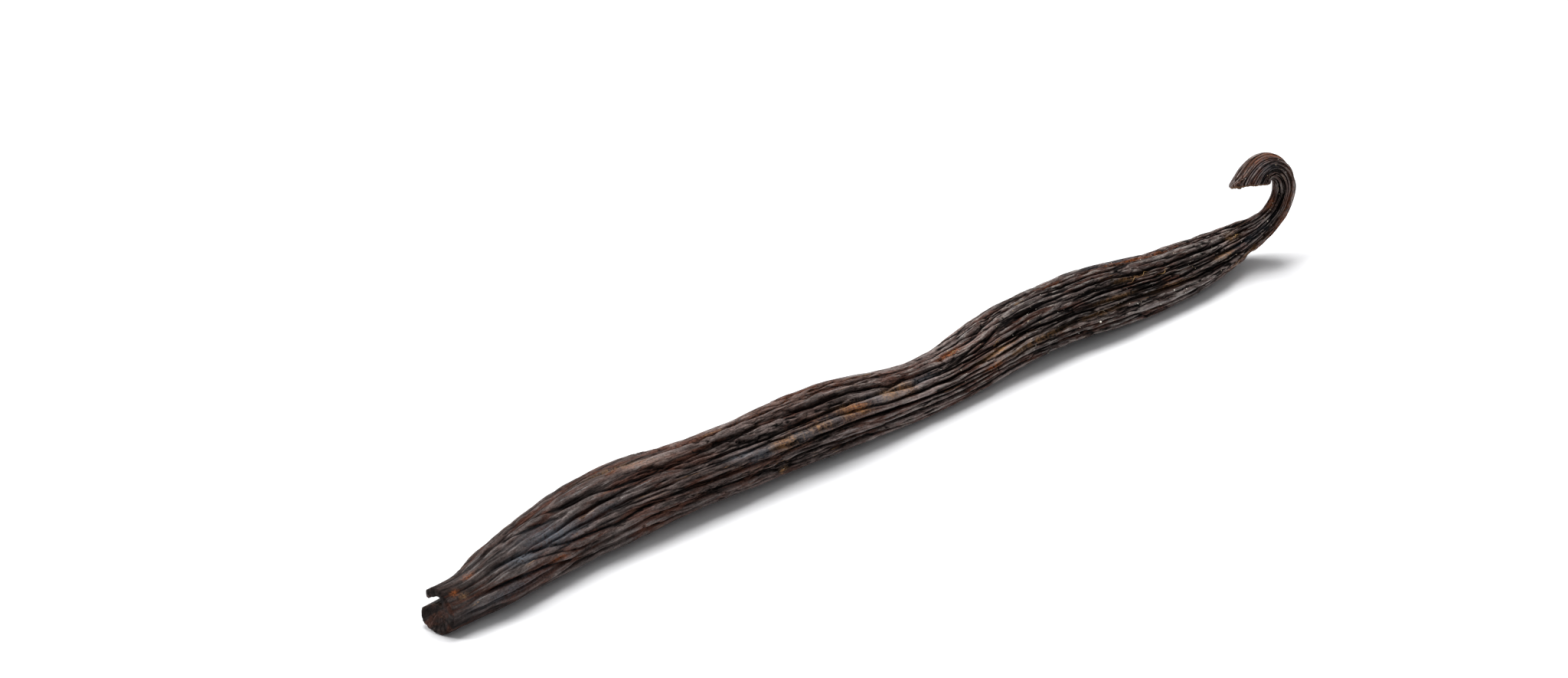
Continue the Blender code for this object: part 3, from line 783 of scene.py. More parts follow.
@dataclass
class PodSkin:
    """The whole skin of the pod, from its split blossom end to the scar of its curled stem end.

    Rows of the dishes are a share of the radius and how far in the end's face lies there. Rows of the skews
    are a bearing in degrees and how far the end's rim is moved along the pod there.
    """

    spine: Spine
    relief: Relief
    mouth: Mouth
    marks: tuple[Mark, ...] = MARKS
    rim_rounding: float = 0.35
    body_step: float = 0.43
    hook_step: float = 0.27
    hook_from: float = 140.0
    dish_rings: int = 11
    blossom_dish: Table = ((0.0, 0.4), (0.36, 0.34), (0.66, 0.15), (0.84, 0.06), (0.94, 0.14), (1.0, 0.35))
    stem_dish: Table = ((0.0, 0.3), (0.4, 0.5), (0.74, 0.35), (0.93, 0.0), (1.0, 0.35))
    scar_share: float = 0.9
    face_shade: float = 0.62
    blossom_skew: Table = (
        (0.0, 0.6), (20.0, 0.55), (40.0, 0.0), (60.0, -0.4), (90.0, -0.15), (180.0, -0.2), (270.0, -0.75),
        (315.0, -0.55), (345.0, 0.0))
    stem_skew: Table = (
        (0.0, 1.6), (45.0, 0.5), (90.0, -0.5), (135.0, -0.7), (180.0, -0.55), (215.0, -0.1), (270.0, 1.2),
        (315.0, 1.8))
    skew_reach: float = 2.6
    surface: tuple[SkinGrid, np.ndarray] | None = field(default=None, init=False)

    def stations(self) -> np.ndarray:
        """The rings that the skin is strung on.

        Returns:
            For each ring its distance along for the relief, its share of the girth, and its place on
            the spine.
        """
        first, last = self.rim_rounding, LENGTH - self.rim_rounding
        body = np.linspace(first, self.hook_from, round((self.hook_from - first) / self.body_step) + 1)
        hook = np.linspace(self.hook_from, last, round((last - self.hook_from) / self.hook_step) + 1)
        inner = np.linspace(0.0, 0.97, self.dish_rings)
        blossom = [(first, share, float(table_spline(self.blossom_dish, share))) for share in inner]
        skin = [(s, 1.0, s) for s in np.concatenate([body, hook[1:]])]
        stem = [(last, share, LENGTH - float(table_spline(self.stem_dish, share)))
                for share in reversed(inner)]
        return np.array(blossom + skin + stem)

    def place_points(self) -> tuple[SkinGrid, np.ndarray, np.ndarray]:
        """Lay the relief on the spine.

        Returns:
            The grid, its points in space, and its points on the unrolled pod, rows by columns by three.
        """
        along, share, places = self.stations().T
        grid = self.relief.lay_out(along)
        half_width, half_height = self.relief.girth.half_sizes(along)
        swell = 1.0 + self.relief.girth.corner_swell * np.cos(3.0 * (grid.angles - math.pi / 2.0))
        across = np.cos(grid.angles) * (half_width[:, None] * swell + grid.heights) * share[:, None]
        upward = np.sin(grid.angles) * (half_height[:, None] * swell + grid.heights) * share[:, None]
        middle, side, up, forward = (self.spine.read(values, places)[:, None, :] for values in (
            self.spine.middle, self.spine.side, self.spine.up, self.spine.forward))
        skew = self.end_skew(along, grid.angles, share)[:, :, None]
        points = middle + across[:, :, None] * side + upward[:, :, None] * up + skew * forward
        points[:, :, 2] = np.maximum(points[:, :, 2], 0.0)
        straight = np.stack([np.broadcast_to(places[:, None], across.shape), across, upward], axis=2)
        return grid, points, straight

    def end_skew(self, along: np.ndarray, angles: np.ndarray, share: np.ndarray) -> np.ndarray:
        """How far each point is moved along the spine, because neither end is cut square.

        Args:
            along: Distances along the pod, one for each row.
            angles: Angles round the pod in radians, rows by columns.
            share: Each row's share of the full girth.

        Returns:
            The moves, rows by columns.
        """
        total = np.zeros_like(angles)
        for table, distance in ((self.blossom_skew, along), (self.stem_skew, LENGTH - along)):
            bearings, moves = np.array(table).T
            rim = np.interp(np.degrees(angles), bearings, moves, period=360.0)
            skew = moves.mean() + (rim - moves.mean()) * share[:, None]
            total += skew * np.exp(-(distance / self.skew_reach) ** 2)[:, None]
        return total

    def build_mesh(self) -> bpy.types.Mesh:
        """The closed skin before its mouth is cut.

        Returns:
            The mesh, with its furrows, crests and marks as point attributes.
        """
        grid, points, straight = self.place_points()
        share = self.stations()[:, 1]
        rows, columns = grid.angles.shape
        inner = points[1:-1].reshape(-1, 3) * MM
        vertices = np.vstack([inner, points[0, 0] * MM, points[-1, 0] * MM])
        first, last = len(inner), len(inner) + 1
        i, j = np.meshgrid(np.arange(rows - 3), np.arange(columns), indexing="ij")
        after = (j + 1) % columns
        quads = np.stack([i * columns + j, i * columns + after, (i + 1) * columns + after,
                          (i + 1) * columns + j], axis=2).reshape(-1, 4)
        ring = np.arange(columns)
        lead = (rows - 3) * columns
        caps = [(first, (k + 1) % columns, k) for k in ring]
        caps += [(last, lead + k, lead + (k + 1) % columns) for k in ring]
        mesh = bpy.data.meshes.new(NODE)
        mesh.from_pydata(vertices.tolist(), [], quads.tolist() + caps)
        scarred = (np.minimum(share[1:-2], share[2:-1]) < self.scar_share) & (
            np.arange(rows - 3) > rows // 2)
        slots = np.concatenate([np.repeat(scarred, columns), np.repeat([False, True], columns)])
        mesh.polygons.foreach_set("material_index", slots.astype(np.int32))
        mesh.polygons.foreach_set("use_smooth", np.ones(len(mesh.polygons), bool))
        dark_end = (share < 1.0) & (np.arange(rows) < rows // 2)
        grid.furrow[dark_end] = np.maximum(grid.furrow[dark_end], self.face_shade)
        self.put_attribute(mesh, "furrow", grid.furrow)
        self.put_attribute(mesh, "crest", self.relief.crests(grid))
        radius = self.relief.girth.radius(grid.along)
        for tint in Tint:
            covers = [mark.cover(grid, radius) for mark in self.marks if mark.tint is tint]
            self.put_attribute(mesh, tint.value, np.max(covers, axis=0))
        ends = np.vstack([straight[1:-1].reshape(-1, 3), straight[0, 0], straight[-1, 0]])
        mesh.attributes.new("straight", "FLOAT_VECTOR", "POINT").data.foreach_set("vector", ends.ravel())
        mesh.validate()
        return mesh

    @staticmethod
    def put_attribute(mesh: bpy.types.Mesh, name: str, values: np.ndarray) -> None:
        """Store one value for every point of the grid, whose first and last rows are single points."""
        flat = np.concatenate([values[1:-1].ravel(), values[0, :1], values[-1, :1]])
        mesh.attributes.new(name, "FLOAT", "POINT").data.foreach_set("value", flat)

    def cut_mouth(self, skin: bpy.types.Object) -> None:
        """Cut the split out of the skin and give the new points the attributes of their neighbours.

        Args:
            skin: The skin, whose mesh is replaced.
        """
        whole = skin.data
        cutter = self.mouth.build_cutter(self.spine)
        cut = skin.modifiers.new("mouth", "BOOLEAN")
        cut.operation = "DIFFERENCE"
        cut.solver = "EXACT"
        cut.material_mode = "INDEX"
        cut.object = cutter
        bpy.context.view_layer.update()
        ready = skin.evaluated_get(bpy.context.evaluated_depsgraph_get())
        opened = bpy.data.meshes.new_from_object(ready)
        skin.modifiers.clear()
        bpy.data.objects.remove(cutter)
        self.carry_attributes(whole, opened)
        self.sharpen_rims(opened)
        opened.name = "pod_skin"
        skin.data = opened

    @staticmethod
    def carry_attributes(whole: bpy.types.Mesh, opened: bpy.types.Mesh) -> None:
        """Copy every point attribute from the nearest point of the uncut mesh.

        Args:
            whole: The mesh before the cut.
            opened: The mesh after it, changed in place.
        """
        tree = KDTree(len(whole.vertices))
        for vertex in whole.vertices:
            tree.insert(vertex.co, vertex.index)
        tree.balance()
        nearest = np.array([tree.find(vertex.co)[1] for vertex in opened.vertices])
        for name in ["furrow", "crest", "straight"] + [tint.value for tint in Tint]:
            source = whole.attributes[name]
            part, width = ("vector", 3) if source.data_type == "FLOAT_VECTOR" else ("value", 1)
            values = np.empty(len(whole.vertices) * width, np.float32)
            source.data.foreach_get(part, values)
            if name in opened.attributes:
                opened.attributes.remove(opened.attributes[name])
            target = opened.attributes.new(name, source.data_type, "POINT")
            target.data.foreach_set(part, values.reshape(-1, width)[nearest].ravel())

    @staticmethod
    def sharpen_rims(mesh: bpy.types.Mesh) -> None:
        """Keep the edge between skin and scar crisp.

        Args:
            mesh: The opened skin, changed in place.
        """
        shape = bmesh.new()
        shape.from_mesh(mesh)
        for edge in shape.edges:
            edge.smooth = len({face.material_index for face in edge.link_faces}) < 2
        for face in shape.faces:
            face.smooth = True
        shape.to_mesh(mesh)
        shape.free()

    def build(self, finishes: "list[bpy.types.Material]") -> bpy.types.Object:
        """Make the skin, cut its mouth and dress it.

        Args:
            finishes: The skin's and the scar's materials.

        Returns:
            The finished piece, riding on the pod's body in place of the plain solid.
        """
        skin = bpy.data.objects.new("pod_skin", self.build_mesh())
        bpy.context.scene.collection.objects.link(skin)
        for finish in finishes:
            skin.data.materials.append(finish)
        self.cut_mouth(skin)
        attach(skin, BODY)
        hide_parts(NODE)
        return skin

    def surface_at(self, along: float, bearing: float) -> tuple[Vector, Vector]:
        """The skin's point at a place, and the way out from the spine there.

        Args:
            along: Distance along the pod.
            bearing: Angle round it in degrees.

        Returns:
            The point in millimetres, and a direction one long.
        """
        if self.surface is None:
            grid, points, _ = self.place_points()
            self.surface = grid, points
        grid, points = self.surface
        rows = np.flatnonzero(self.stations()[:, 1] == 1.0)
        row = rows[np.argmin(np.abs(grid.along[rows] - along))]
        column = np.argmin(np.abs(turned(grid.angles[row] - math.radians(bearing))))
        point = Vector(points[row, column])
        middle = Vector(self.spine.read(self.spine.middle, np.array([along]))[0])
        return point, (point - middle).normalized()


class NodeDesk:
    """Adds nodes to one node tree and joins them."""

    def __init__(self, tree: bpy.types.NodeTree) -> None:
        """Work on a tree."""
        self.tree = tree

    def feed(self, socket: Socket, value: "Socket | float | tuple[float, ...]") -> None:
        """Join a socket to another, or set its value.

        Args:
            socket: The input to feed.
            value: The socket that it reads, or the value that it keeps.
        """
        if isinstance(value, bpy.types.NodeSocket):
            self.tree.links.new(value, socket)
        elif isinstance(value, tuple) and socket.type == "RGBA":
            socket.default_value = (*value, 1.0)
        else:
            socket.default_value = value

    def add(self, kind: str, inputs: "dict[str, object]", **settings: object) -> bpy.types.Node:
        """Add a node.

        Args:
            kind: The node's Blender type.
            inputs: What each named input gets: a socket or a value.
            settings: The node's own properties.

        Returns:
            The node.
        """
        node = self.tree.nodes.new(kind)
        for name, value in settings.items():
            setattr(node, name, value)
        for name, value in inputs.items():
            self.feed(node.inputs[name], value)
        return node

    def place(self, group: bpy.types.NodeTree, **inputs: object) -> Socket:
        """Place a shader node group.

        Args:
            group: The group.
            inputs: What each of its inputs gets, by the input's name in small letters.

        Returns:
            The group's output.
        """
        node = self.tree.nodes.new("ShaderNodeGroup")
        node.node_tree = group
        for name, value in inputs.items():
            self.feed(node.inputs[name.replace("_", " ").title()], value)
        return node.outputs[0]

    def attribute(self, name: str, output: str = "Fac") -> Socket:
        """Read a mesh attribute."""
        return self.add("ShaderNodeAttribute", {}, attribute_name=name).outputs[output]

    def maths(self, operation: str, first: object, second: object = 0.0) -> Socket:
        """Work out one sum.

        Args:
            operation: Which sum, by its Blender name.
            first: The first value.
            second: The second value.

        Returns:
            The result.
        """
        node = self.tree.nodes.new("ShaderNodeMath")
        node.operation = operation
        self.feed(node.inputs[0], first)
        self.feed(node.inputs[1], second)
        return node.outputs[0]

    def between(self, value: Socket, low: float, high: float, to_low: float = 0.0,
                to_high: float = 1.0) -> Socket:
        """Ease a value from one range into another.

        Args:
            value: What to change.
            low: Where the range starts.
            high: Where the range ends.
            to_low: What it gives at and before the start.
            to_high: What it gives at and after the end.

        Returns:
            The eased value.
        """
        return self.add("ShaderNodeMapRange", {
            "Value": value, "From Min": low, "From Max": high, "To Min": to_low, "To Max": to_high},
            interpolation_type="SMOOTHSTEP").outputs["Result"]

    def blend(self, share: object, first: object, second: object) -> Socket:
        """Blend two colours.

        Args:
            share: How much of the second one shows.
            first: The colour at 0.
            second: The colour at 1.

        Returns:
            The blended colour.
        """
        node = self.tree.nodes.new("ShaderNodeMix")
        node.data_type = "RGBA"
        for index, value in ((0, share), (6, first), (7, second)):
            self.feed(node.inputs[index], value)
        return node.outputs[2]

    def tone(self, colour: Socket, brightness: Socket) -> Socket:
        """Make a colour darker or lighter.

        Args:
            colour: The colour.
            brightness: The factor, 1 where the colour stays.

        Returns:
            The changed colour.
        """
        node = self.add("ShaderNodeVectorMath", {}, operation="SCALE")
        self.feed(node.inputs[0], colour)
        self.feed(node.inputs["Scale"], brightness)
        return node.outputs[0]


class GrainGroups:
    """The shader node groups that the finishes share."""

    def __init__(self) -> None:
        """Build every group once."""
        self.grain = self.build_grain()
        self.streaks = self.build_streaks()
        self.wrinkles = self.build_wrinkles()
        self.cracks = self.build_cracks()

    @staticmethod
    def start(name: str, inputs: "dict[str, str]",
              output: str) -> tuple[NodeDesk, "dict[str, Socket]", Socket]:
        """Start a group with its named sockets.

        Args:
            name: The group's name.
            inputs: Each input's name and the kind of socket that it is.
            output: The name of its one output, a value.

        Returns:
            The desk to work at, the inputs to read from, and the output to feed.
        """
        tree = bpy.data.node_groups.new(name, "ShaderNodeTree")
        for label, kind in inputs.items():
            tree.interface.new_socket(name=label, in_out="INPUT", socket_type=kind)
        tree.interface.new_socket(name=output, in_out="OUTPUT", socket_type="NodeSocketFloat")
        source = tree.nodes.new("NodeGroupInput")
        target = tree.nodes.new("NodeGroupOutput")
        given = {socket.name: socket for socket in source.outputs if socket.name}
        return NodeDesk(tree), given, target.inputs[output]

    def build_grain(self) -> bpy.types.NodeTree:
        """Soft noise drawn out along the pod.

        Returns:
            The group.
        """
        desk, given, out = self.start("drawn_out_grain", {
            "Unrolled": "NodeSocketVector", "Along": "NodeSocketFloat", "Across": "NodeSocketFloat",
            "Detail": "NodeSocketFloat"}, "Grain")
        scale = desk.add("ShaderNodeCombineXYZ", {
            "X": given["Along"], "Y": given["Across"], "Z": given["Across"]}).outputs[0]
        drawn = desk.add("ShaderNodeVectorMath", {}, operation="MULTIPLY")
        desk.feed(drawn.inputs[0], given["Unrolled"])
        desk.feed(drawn.inputs[1], scale)
        noise = desk.add("ShaderNodeTexNoise", {
            "Vector": drawn.outputs[0], "Scale": 1.0, "Detail": given["Detail"], "Roughness": 0.6,
            "Distortion": 0.35})
        desk.feed(out, noise.outputs[0])
        return desk.tree

    def build_streaks(self) -> bpy.types.NodeTree:
        """Thin lengthwise streaks that come and go along the pod.

        Returns:
            The group.
        """
        desk, given, out = self.start("lengthwise_streaks", {
            "Unrolled": "NodeSocketVector", "Along": "NodeSocketFloat", "Across": "NodeSocketFloat",
            "Threshold": "NodeSocketFloat", "Softness": "NodeSocketFloat"}, "Streaks")
        lines = desk.place(self.grain, unrolled=given["Unrolled"], along=given["Along"],
                           across=given["Across"], detail=2.0)
        upper = desk.maths("ADD", given["Threshold"], given["Softness"])
        ranged = desk.add("ShaderNodeMapRange", {
            "Value": lines, "From Min": given["Threshold"], "From Max": upper},
            interpolation_type="SMOOTHSTEP")
        desk.feed(out, ranged.outputs["Result"])
        return desk.tree

    def build_wrinkles(self) -> bpy.types.NodeTree:
        """Fine relief: branching cracks at two scales, creases across them, and a grain.

        Returns:
            The group.
        """
        desk, given, out = self.start("fine_wrinkles", {
            "Unrolled": "NodeSocketVector", "Cracks": "NodeSocketFloat", "Creases": "NodeSocketFloat",
            "Grain": "NodeSocketFloat"}, "Height")
        broad = self.crack_lines(desk, given["Unrolled"], *BROAD_CRACKS, 0.16)
        fine = self.crack_lines(desk, given["Unrolled"], *FINE_CRACKS, 0.16)
        cracks = desk.maths("ADD", desk.maths("MULTIPLY", broad, 0.9), desk.maths("MULTIPLY", fine, 0.4))
        creases = desk.place(self.grain, unrolled=given["Unrolled"], along=1.5, across=1.0, detail=4.0)
        grain = desk.place(self.grain, unrolled=given["Unrolled"], along=3.4, across=4.6, detail=3.0)
        height = desk.maths("MULTIPLY", cracks, given["Cracks"])
        height = desk.maths("ADD", height, desk.maths("MULTIPLY", creases, given["Creases"]))
        height = desk.maths("ADD", height, desk.maths("MULTIPLY", grain, given["Grain"]))
        desk.feed(out, height)
        return desk.tree

    def build_cracks(self) -> bpy.types.NodeTree:
        """Where the fine cracks are open: 1 in a crack, 0 on the skin between.

        Returns:
            The group.
        """
        desk, given, out = self.start("crack_mask", {
            "Unrolled": "NodeSocketVector", "Along": "NodeSocketFloat", "Across": "NodeSocketFloat",
            "Breadth": "NodeSocketFloat"}, "Cracks")
        lines = self.crack_lines(desk, given["Unrolled"], given["Along"], given["Across"], given["Breadth"])
        desk.feed(out, desk.maths("SUBTRACT", 1.0, lines))
        return desk.tree

    def crack_lines(self, desk: NodeDesk, unrolled: Socket, along: object, across: object,
                    breadth: object) -> Socket:
        """Skin between branching cracks: 0 in a crack and 1 beyond its breadth.

        Args:
            desk: Where the nodes go.
            unrolled: The place on the unrolled pod.
            along: Cells for each millimetre along the pod.
            across: Cells for each millimetre round it.
            breadth: How far from its middle a crack reaches, as a share of a cell.

        Returns:
            The height of the skin.
        """
        scale = desk.add("ShaderNodeCombineXYZ", {"X": along, "Y": across, "Z": across}).outputs[0]
        drawn = desk.add("ShaderNodeVectorMath", {}, operation="MULTIPLY")
        desk.feed(drawn.inputs[0], unrolled)
        desk.feed(drawn.inputs[1], scale)
        sway = desk.place(self.grain, unrolled=unrolled, along=0.4, across=0.7, detail=1.0)
        bent = desk.add("ShaderNodeVectorMath", {}, operation="ADD")
        desk.feed(bent.inputs[0], drawn.outputs[0])
        desk.feed(bent.inputs[1], desk.maths("MULTIPLY", sway, 0.8))
        cells = desk.add("ShaderNodeTexVoronoi", {"Vector": bent.outputs[0], "Scale": 1.0},
                         feature="DISTANCE_TO_EDGE")
        ranged = desk.add("ShaderNodeMapRange", {
            "Value": cells.outputs["Distance"], "From Min": 0.0, "From Max": breadth},
            interpolation_type="SMOOTHSTEP")
        return ranged.outputs["Result"]


def new_material(name: str) -> tuple[bpy.types.Material, NodeDesk, bpy.types.Node]:
    """Start a material.

    Args:
        name: The material's name.

    Returns:
        The material, a desk for its node tree, and its Principled BSDF.
    """
    material = bpy.data.materials.new(name)
    material.use_nodes = True
    return material, NodeDesk(material.node_tree), material.node_tree.nodes["Principled BSDF"]


@dataclass(frozen=True)
class SkinMaps:
    """What varies over the skin, for its colours and its gloss to read."""

    unrolled: Socket
    along: Socket
    crest: Socket
    furrow: Socket
    fibres: Socket
    speckle: Socket


@dataclass(frozen=True)
class SkinFinish:
    """Oily, cured skin: taupe ridges with painted highlight on the crests, red-brown flanks, near-black
    painted shade in the furrows, and marks of gold and of slate, the slate partly a painted bluish
    highlight.

    Each row of tones_along is a stretch of the pod and the skin's brightness before and after it.
    """

    deep: Colour = (0.044, 0.0285, 0.0250)
    taupe: Colour = (0.115, 0.088, 0.081)
    flank: Colour = (0.095, 0.032, 0.018)
    furrow: Colour = (0.0022, 0.0012, 0.0010)
    # near black: the painted shade in the furrows and cracks
    gold: Colour = (0.42, 0.225, 0.10)
    rust: Colour = (0.34, 0.10, 0.028)
    slate: Colour = (0.12, 0.135, 0.158)
    # the colour of the painted highlight on the crests
    pale: Colour = (0.27, 0.235, 0.215)
    tones_along: Table = (
        (0.0, 50.0, 0.84, 1.16), (2.0, 12.0, 0.72, 1.0), (50.0, 76.0, 1.0, 1.08), (68.0, 78.0, 1.0, 1.6),
        (88.0, 100.0, 1.0, 0.48), (116.0, 126.0, 1.0, 1.25), (140.0, 150.0, 1.0, 0.45))
    refraction: float = 1.14
    coat_roughness: float = 0.21
    bump_distance: float = 0.14

    def build(self, groups: GrainGroups) -> bpy.types.Material:
        """Make the material.

        Args:
            groups: The shared node groups.

        Returns:
            The finished material.
        """
        material, desk, shader = new_material("cured_skin")
        maps = self.read_maps(desk, groups)
        colour = self.body_colour(desk, groups, maps)
        colour = desk.tone(colour, desk.between(maps.speckle, 0.32, 0.68, 0.72, 1.32))
        colour, wax_and_sheen, scuffed = self.marked_colour(desk, groups, maps, colour)
        desk.feed(shader.inputs["Base Color"], colour)
        desk.feed(shader.inputs["Roughness"], self.roughness(desk, maps, wax_and_sheen))
        desk.feed(shader.inputs["Coat Weight"], self.oiliness(desk, maps))
        desk.feed(shader.inputs["IOR"], self.refraction)
        desk.feed(shader.inputs["Coat Roughness"], self.coat_roughness)
        creases = desk.maths("ADD", 0.8, desk.maths("MULTIPLY", scuffed, 1.3))
        cracks = desk.between(maps.along, 0.0, 50.0, 0.25, 0.7)
        height = desk.place(groups.wrinkles, unrolled=maps.unrolled, cracks=cracks, creases=creases,
                            grain=0.8)
        bump = desk.add("ShaderNodeBump", {
            "Strength": 1.0, "Distance": self.bump_distance * MM, "Height": height})
        desk.feed(shader.inputs["Normal"], bump.outputs[0])
        return material

    def read_maps(self, desk: NodeDesk, groups: GrainGroups) -> SkinMaps:
        """Read what varies over the skin, with its fine cracks added to the furrows.

        Args:
            desk: Where the nodes go.
            groups: The shared node groups.

        Returns:
            The maps.
        """
        unrolled = desk.attribute("straight", "Vector")
        along = desk.add("ShaderNodeSeparateXYZ", {"Vector": unrolled}).outputs["X"]
        fibres = desk.place(groups.grain, unrolled=unrolled, along=0.3, across=3.6, detail=5.0)
        speckle = desk.place(groups.grain, unrolled=unrolled, along=3.2, across=4.4, detail=4.0)
        cracks = self.open_cracks(desk, groups, unrolled, along)
        furrow = desk.maths("MINIMUM", desk.maths("ADD", desk.attribute("furrow"), cracks), 1.0)
        return SkinMaps(unrolled, along, desk.attribute("crest"), furrow, fibres, speckle)

    def open_cracks(self, desk: NodeDesk, groups: GrainGroups, unrolled: Socket, along: Socket) -> Socket:
        """Where fine cracks and lines run over the skin, more of them towards the stem; they are darkened as
        painted shade.

        Args:
            desk: Where the nodes go.
            groups: The shared node groups.
            unrolled: The place on the unrolled pod.
            along: The distance along the pod.

        Returns:
            How strongly the painted shade darkens the cracks.
        """
        broad = desk.place(groups.cracks, unrolled=unrolled, along=BROAD_CRACKS[0],
                           across=BROAD_CRACKS[1], breadth=0.09)
        fine = desk.place(groups.cracks, unrolled=unrolled, along=FINE_CRACKS[0], across=FINE_CRACKS[1],
                          breadth=0.10)
        lines = desk.place(groups.streaks, unrolled=unrolled, along=0.13, across=2.5, threshold=0.60,
                           softness=0.06)
        cracks = desk.maths("ADD", desk.maths("MULTIPLY", broad, 0.5), desk.maths("MULTIPLY", fine, 0.22))
        cracks = desk.maths("ADD", cracks, desk.maths("MULTIPLY", lines, 0.6))
        cracks = desk.maths("MULTIPLY", cracks, desk.between(along, 0.0, 50.0, 0.2, 0.62))
        return desk.maths("MULTIPLY", cracks, desk.between(along, 95.0, 118.0, 1.0, 1.3))

    def body_colour(self, desk: NodeDesk, groups: GrainGroups, maps: SkinMaps) -> Socket:
        """The colour that the skin has all over, with painted highlight on the crests and painted shade in
        the hollows and furrows.

        Args:
            desk: Where the nodes go.
            groups: The shared node groups.
            maps: What varies over the skin.

        Returns:
            The colour.
        """
        unrolled, along, crest = maps.unrolled, maps.along, maps.crest
        broad = desk.place(groups.grain, unrolled=unrolled, along=0.09, across=0.42, detail=3.0)
        colour = desk.blend(desk.between(broad, 0.36, 0.64), self.deep, self.taupe)
        colour = desk.tone(colour, desk.between(maps.fibres, 0.3, 0.7, 0.62, 1.3))
        blotch = desk.place(groups.grain, unrolled=unrolled, along=0.32, across=0.75, detail=2.0)
        colour = desk.tone(colour, desk.between(blotch, 0.36, 0.64, 0.72, 1.28))
        # painted light: crests are lightened as a highlight and the skin lower than its neighbours is
        # darkened as shade
        colour = desk.tone(colour, desk.between(crest, -0.6, 0.9, 0.6, 1.55))
        for stretch in self.tones_along:
            colour = desk.tone(colour, desk.between(along, *stretch))
        # painted light on the hook: its crests are lightened and the gaps between them darkened, more
        # strongly than elsewhere
        tight = desk.maths("MULTIPLY", crest, desk.between(along, 132.0, 144.0))
        colour = desk.tone(colour, desk.between(tight, -0.5, 0.8, 0.32, 1.5))
        colour = desk.blend(self.reddened(desk, groups, maps), colour, self.flank)
        # painted highlight: pale broken streaks on the crests, stronger beyond the middle of the pod, stand
        # for glints
        wear_and_glint = desk.place(groups.grain, unrolled=unrolled, along=0.42, across=2.8, detail=2.0)
        wear_and_glint = desk.maths("MULTIPLY", desk.between(wear_and_glint, 0.48, 0.60), desk.between(crest, 0.25, 0.85))
        wear_and_glint = desk.maths("MULTIPLY", wear_and_glint, desk.between(along, 60.0, 84.0, 0.15, 0.72))
        colour = desk.blend(wear_and_glint, colour, self.pale)
        threads = desk.place(groups.streaks, unrolled=unrolled, along=0.16, across=3.4, threshold=0.655,
                             softness=0.05)
        where = desk.place(groups.grain, unrolled=unrolled, along=0.07, across=0.35, detail=1.0)
        threads = desk.maths("MULTIPLY", threads, desk.between(where, 0.5, 0.66, 0.0, 0.55))
        colour = desk.blend(threads, colour, self.gold)
        # painted shade: the furrows, the cracks and the blossom end's face are darkened towards near black
        return desk.blend(desk.between(maps.furrow, 0.38, 0.95), colour, self.furrow)

    def reddened(self, desk: NodeDesk, groups: GrainGroups, maps: SkinMaps) -> Socket:
        """Where the skin is red-brown: on the furrows' flanks and in a few long streaks.

        Args:
            desk: Where the nodes go.
            groups: The shared node groups.
            maps: What varies over the skin.

        Returns:
            How red it is, from 0 to 1.
        """
        zone = desk.place(groups.grain, unrolled=maps.unrolled, along=0.11, across=0.6, detail=2.0)
        edge = desk.maths("MULTIPLY", maps.furrow, desk.maths("SUBTRACT", 1.0, maps.furrow))
        red = desk.maths("MULTIPLY", desk.between(edge, 0.04, 0.22), desk.between(zone, 0.46, 0.62))
        streaks = desk.place(groups.streaks, unrolled=maps.unrolled, along=0.10, across=1.9,
                             threshold=0.62, softness=0.07)
        red = desk.maths("MAXIMUM", red, desk.maths("MULTIPLY", streaks, 0.45))
        return desk.maths("MULTIPLY", red, 0.6)

    def marked_colour(self, desk: NodeDesk, groups: GrainGroups, maps: SkinMaps,
                      colour: Socket) -> tuple[Socket, Socket, Socket]:
        """Lay the local marks over the skin's colour, broken up by its grain.

        Args:
            desk: Where the nodes go.
            groups: The shared node groups.
            maps: What varies over the skin.
            colour: The skin's colour.

        Returns:
            The marked colour, where the bloom of the slate marks lies, with its painted bluish highlight,
            and how scuffed it is.
        """
        speckle = maps.speckle
        comb = desk.place(groups.grain, unrolled=maps.unrolled, along=2.6, across=0.8, detail=3.0)
        broken = desk.maths("ADD", desk.maths("MULTIPLY", comb, 0.6), desk.maths("MULTIPLY", speckle, 0.4))
        scuffed = desk.attribute(Tint.SCUFF.value)
        # slate marks: a waxy bloom, lightened bluish as a painted highlight
        wax_and_sheen = desk.maths("MULTIPLY", desk.attribute(Tint.SLATE.value), desk.between(broken, 0.34, 0.56))
        colour = desk.blend(desk.maths("MULTIPLY", wax_and_sheen, 0.85), colour, self.slate)
        wear_and_glint = desk.maths("MULTIPLY", scuffed, desk.between(broken, 0.5, 0.62, 0.0, 0.35))
        colour = desk.blend(wear_and_glint, colour, self.gold)
        gilded = desk.maths("MULTIPLY", desk.attribute(Tint.GOLD.value), desk.between(broken, 0.38, 0.6))
        colour = desk.blend(gilded, colour, self.gold)
        rusty = desk.maths("MULTIPLY", desk.attribute(Tint.RUST.value), desk.between(speckle, 0.36, 0.6))
        return desk.blend(rusty, colour, self.rust), wax_and_sheen, scuffed

    def roughness(self, desk: NodeDesk, maps: SkinMaps, wax_and_sheen: Socket) -> Socket:
        """How rough the skin is: more so in the furrows, and less on crests and the slate marks.

        Args:
            desk: Where the nodes go.
            maps: What varies over the skin.
            wax_and_sheen: Where the slate marks lie.

        Returns:
            The roughness.
        """
        rough = desk.between(maps.fibres, 0.3, 0.7, 0.40, 0.58)
        rough = desk.maths("ADD", rough, desk.maths("MULTIPLY", maps.furrow, 0.22))
        rough = desk.maths("SUBTRACT", rough, desk.maths("MULTIPLY", wax_and_sheen, 0.16))
        return desk.maths("SUBTRACT", rough, desk.between(maps.crest, 0.0, 0.9, 0.0, 0.08))

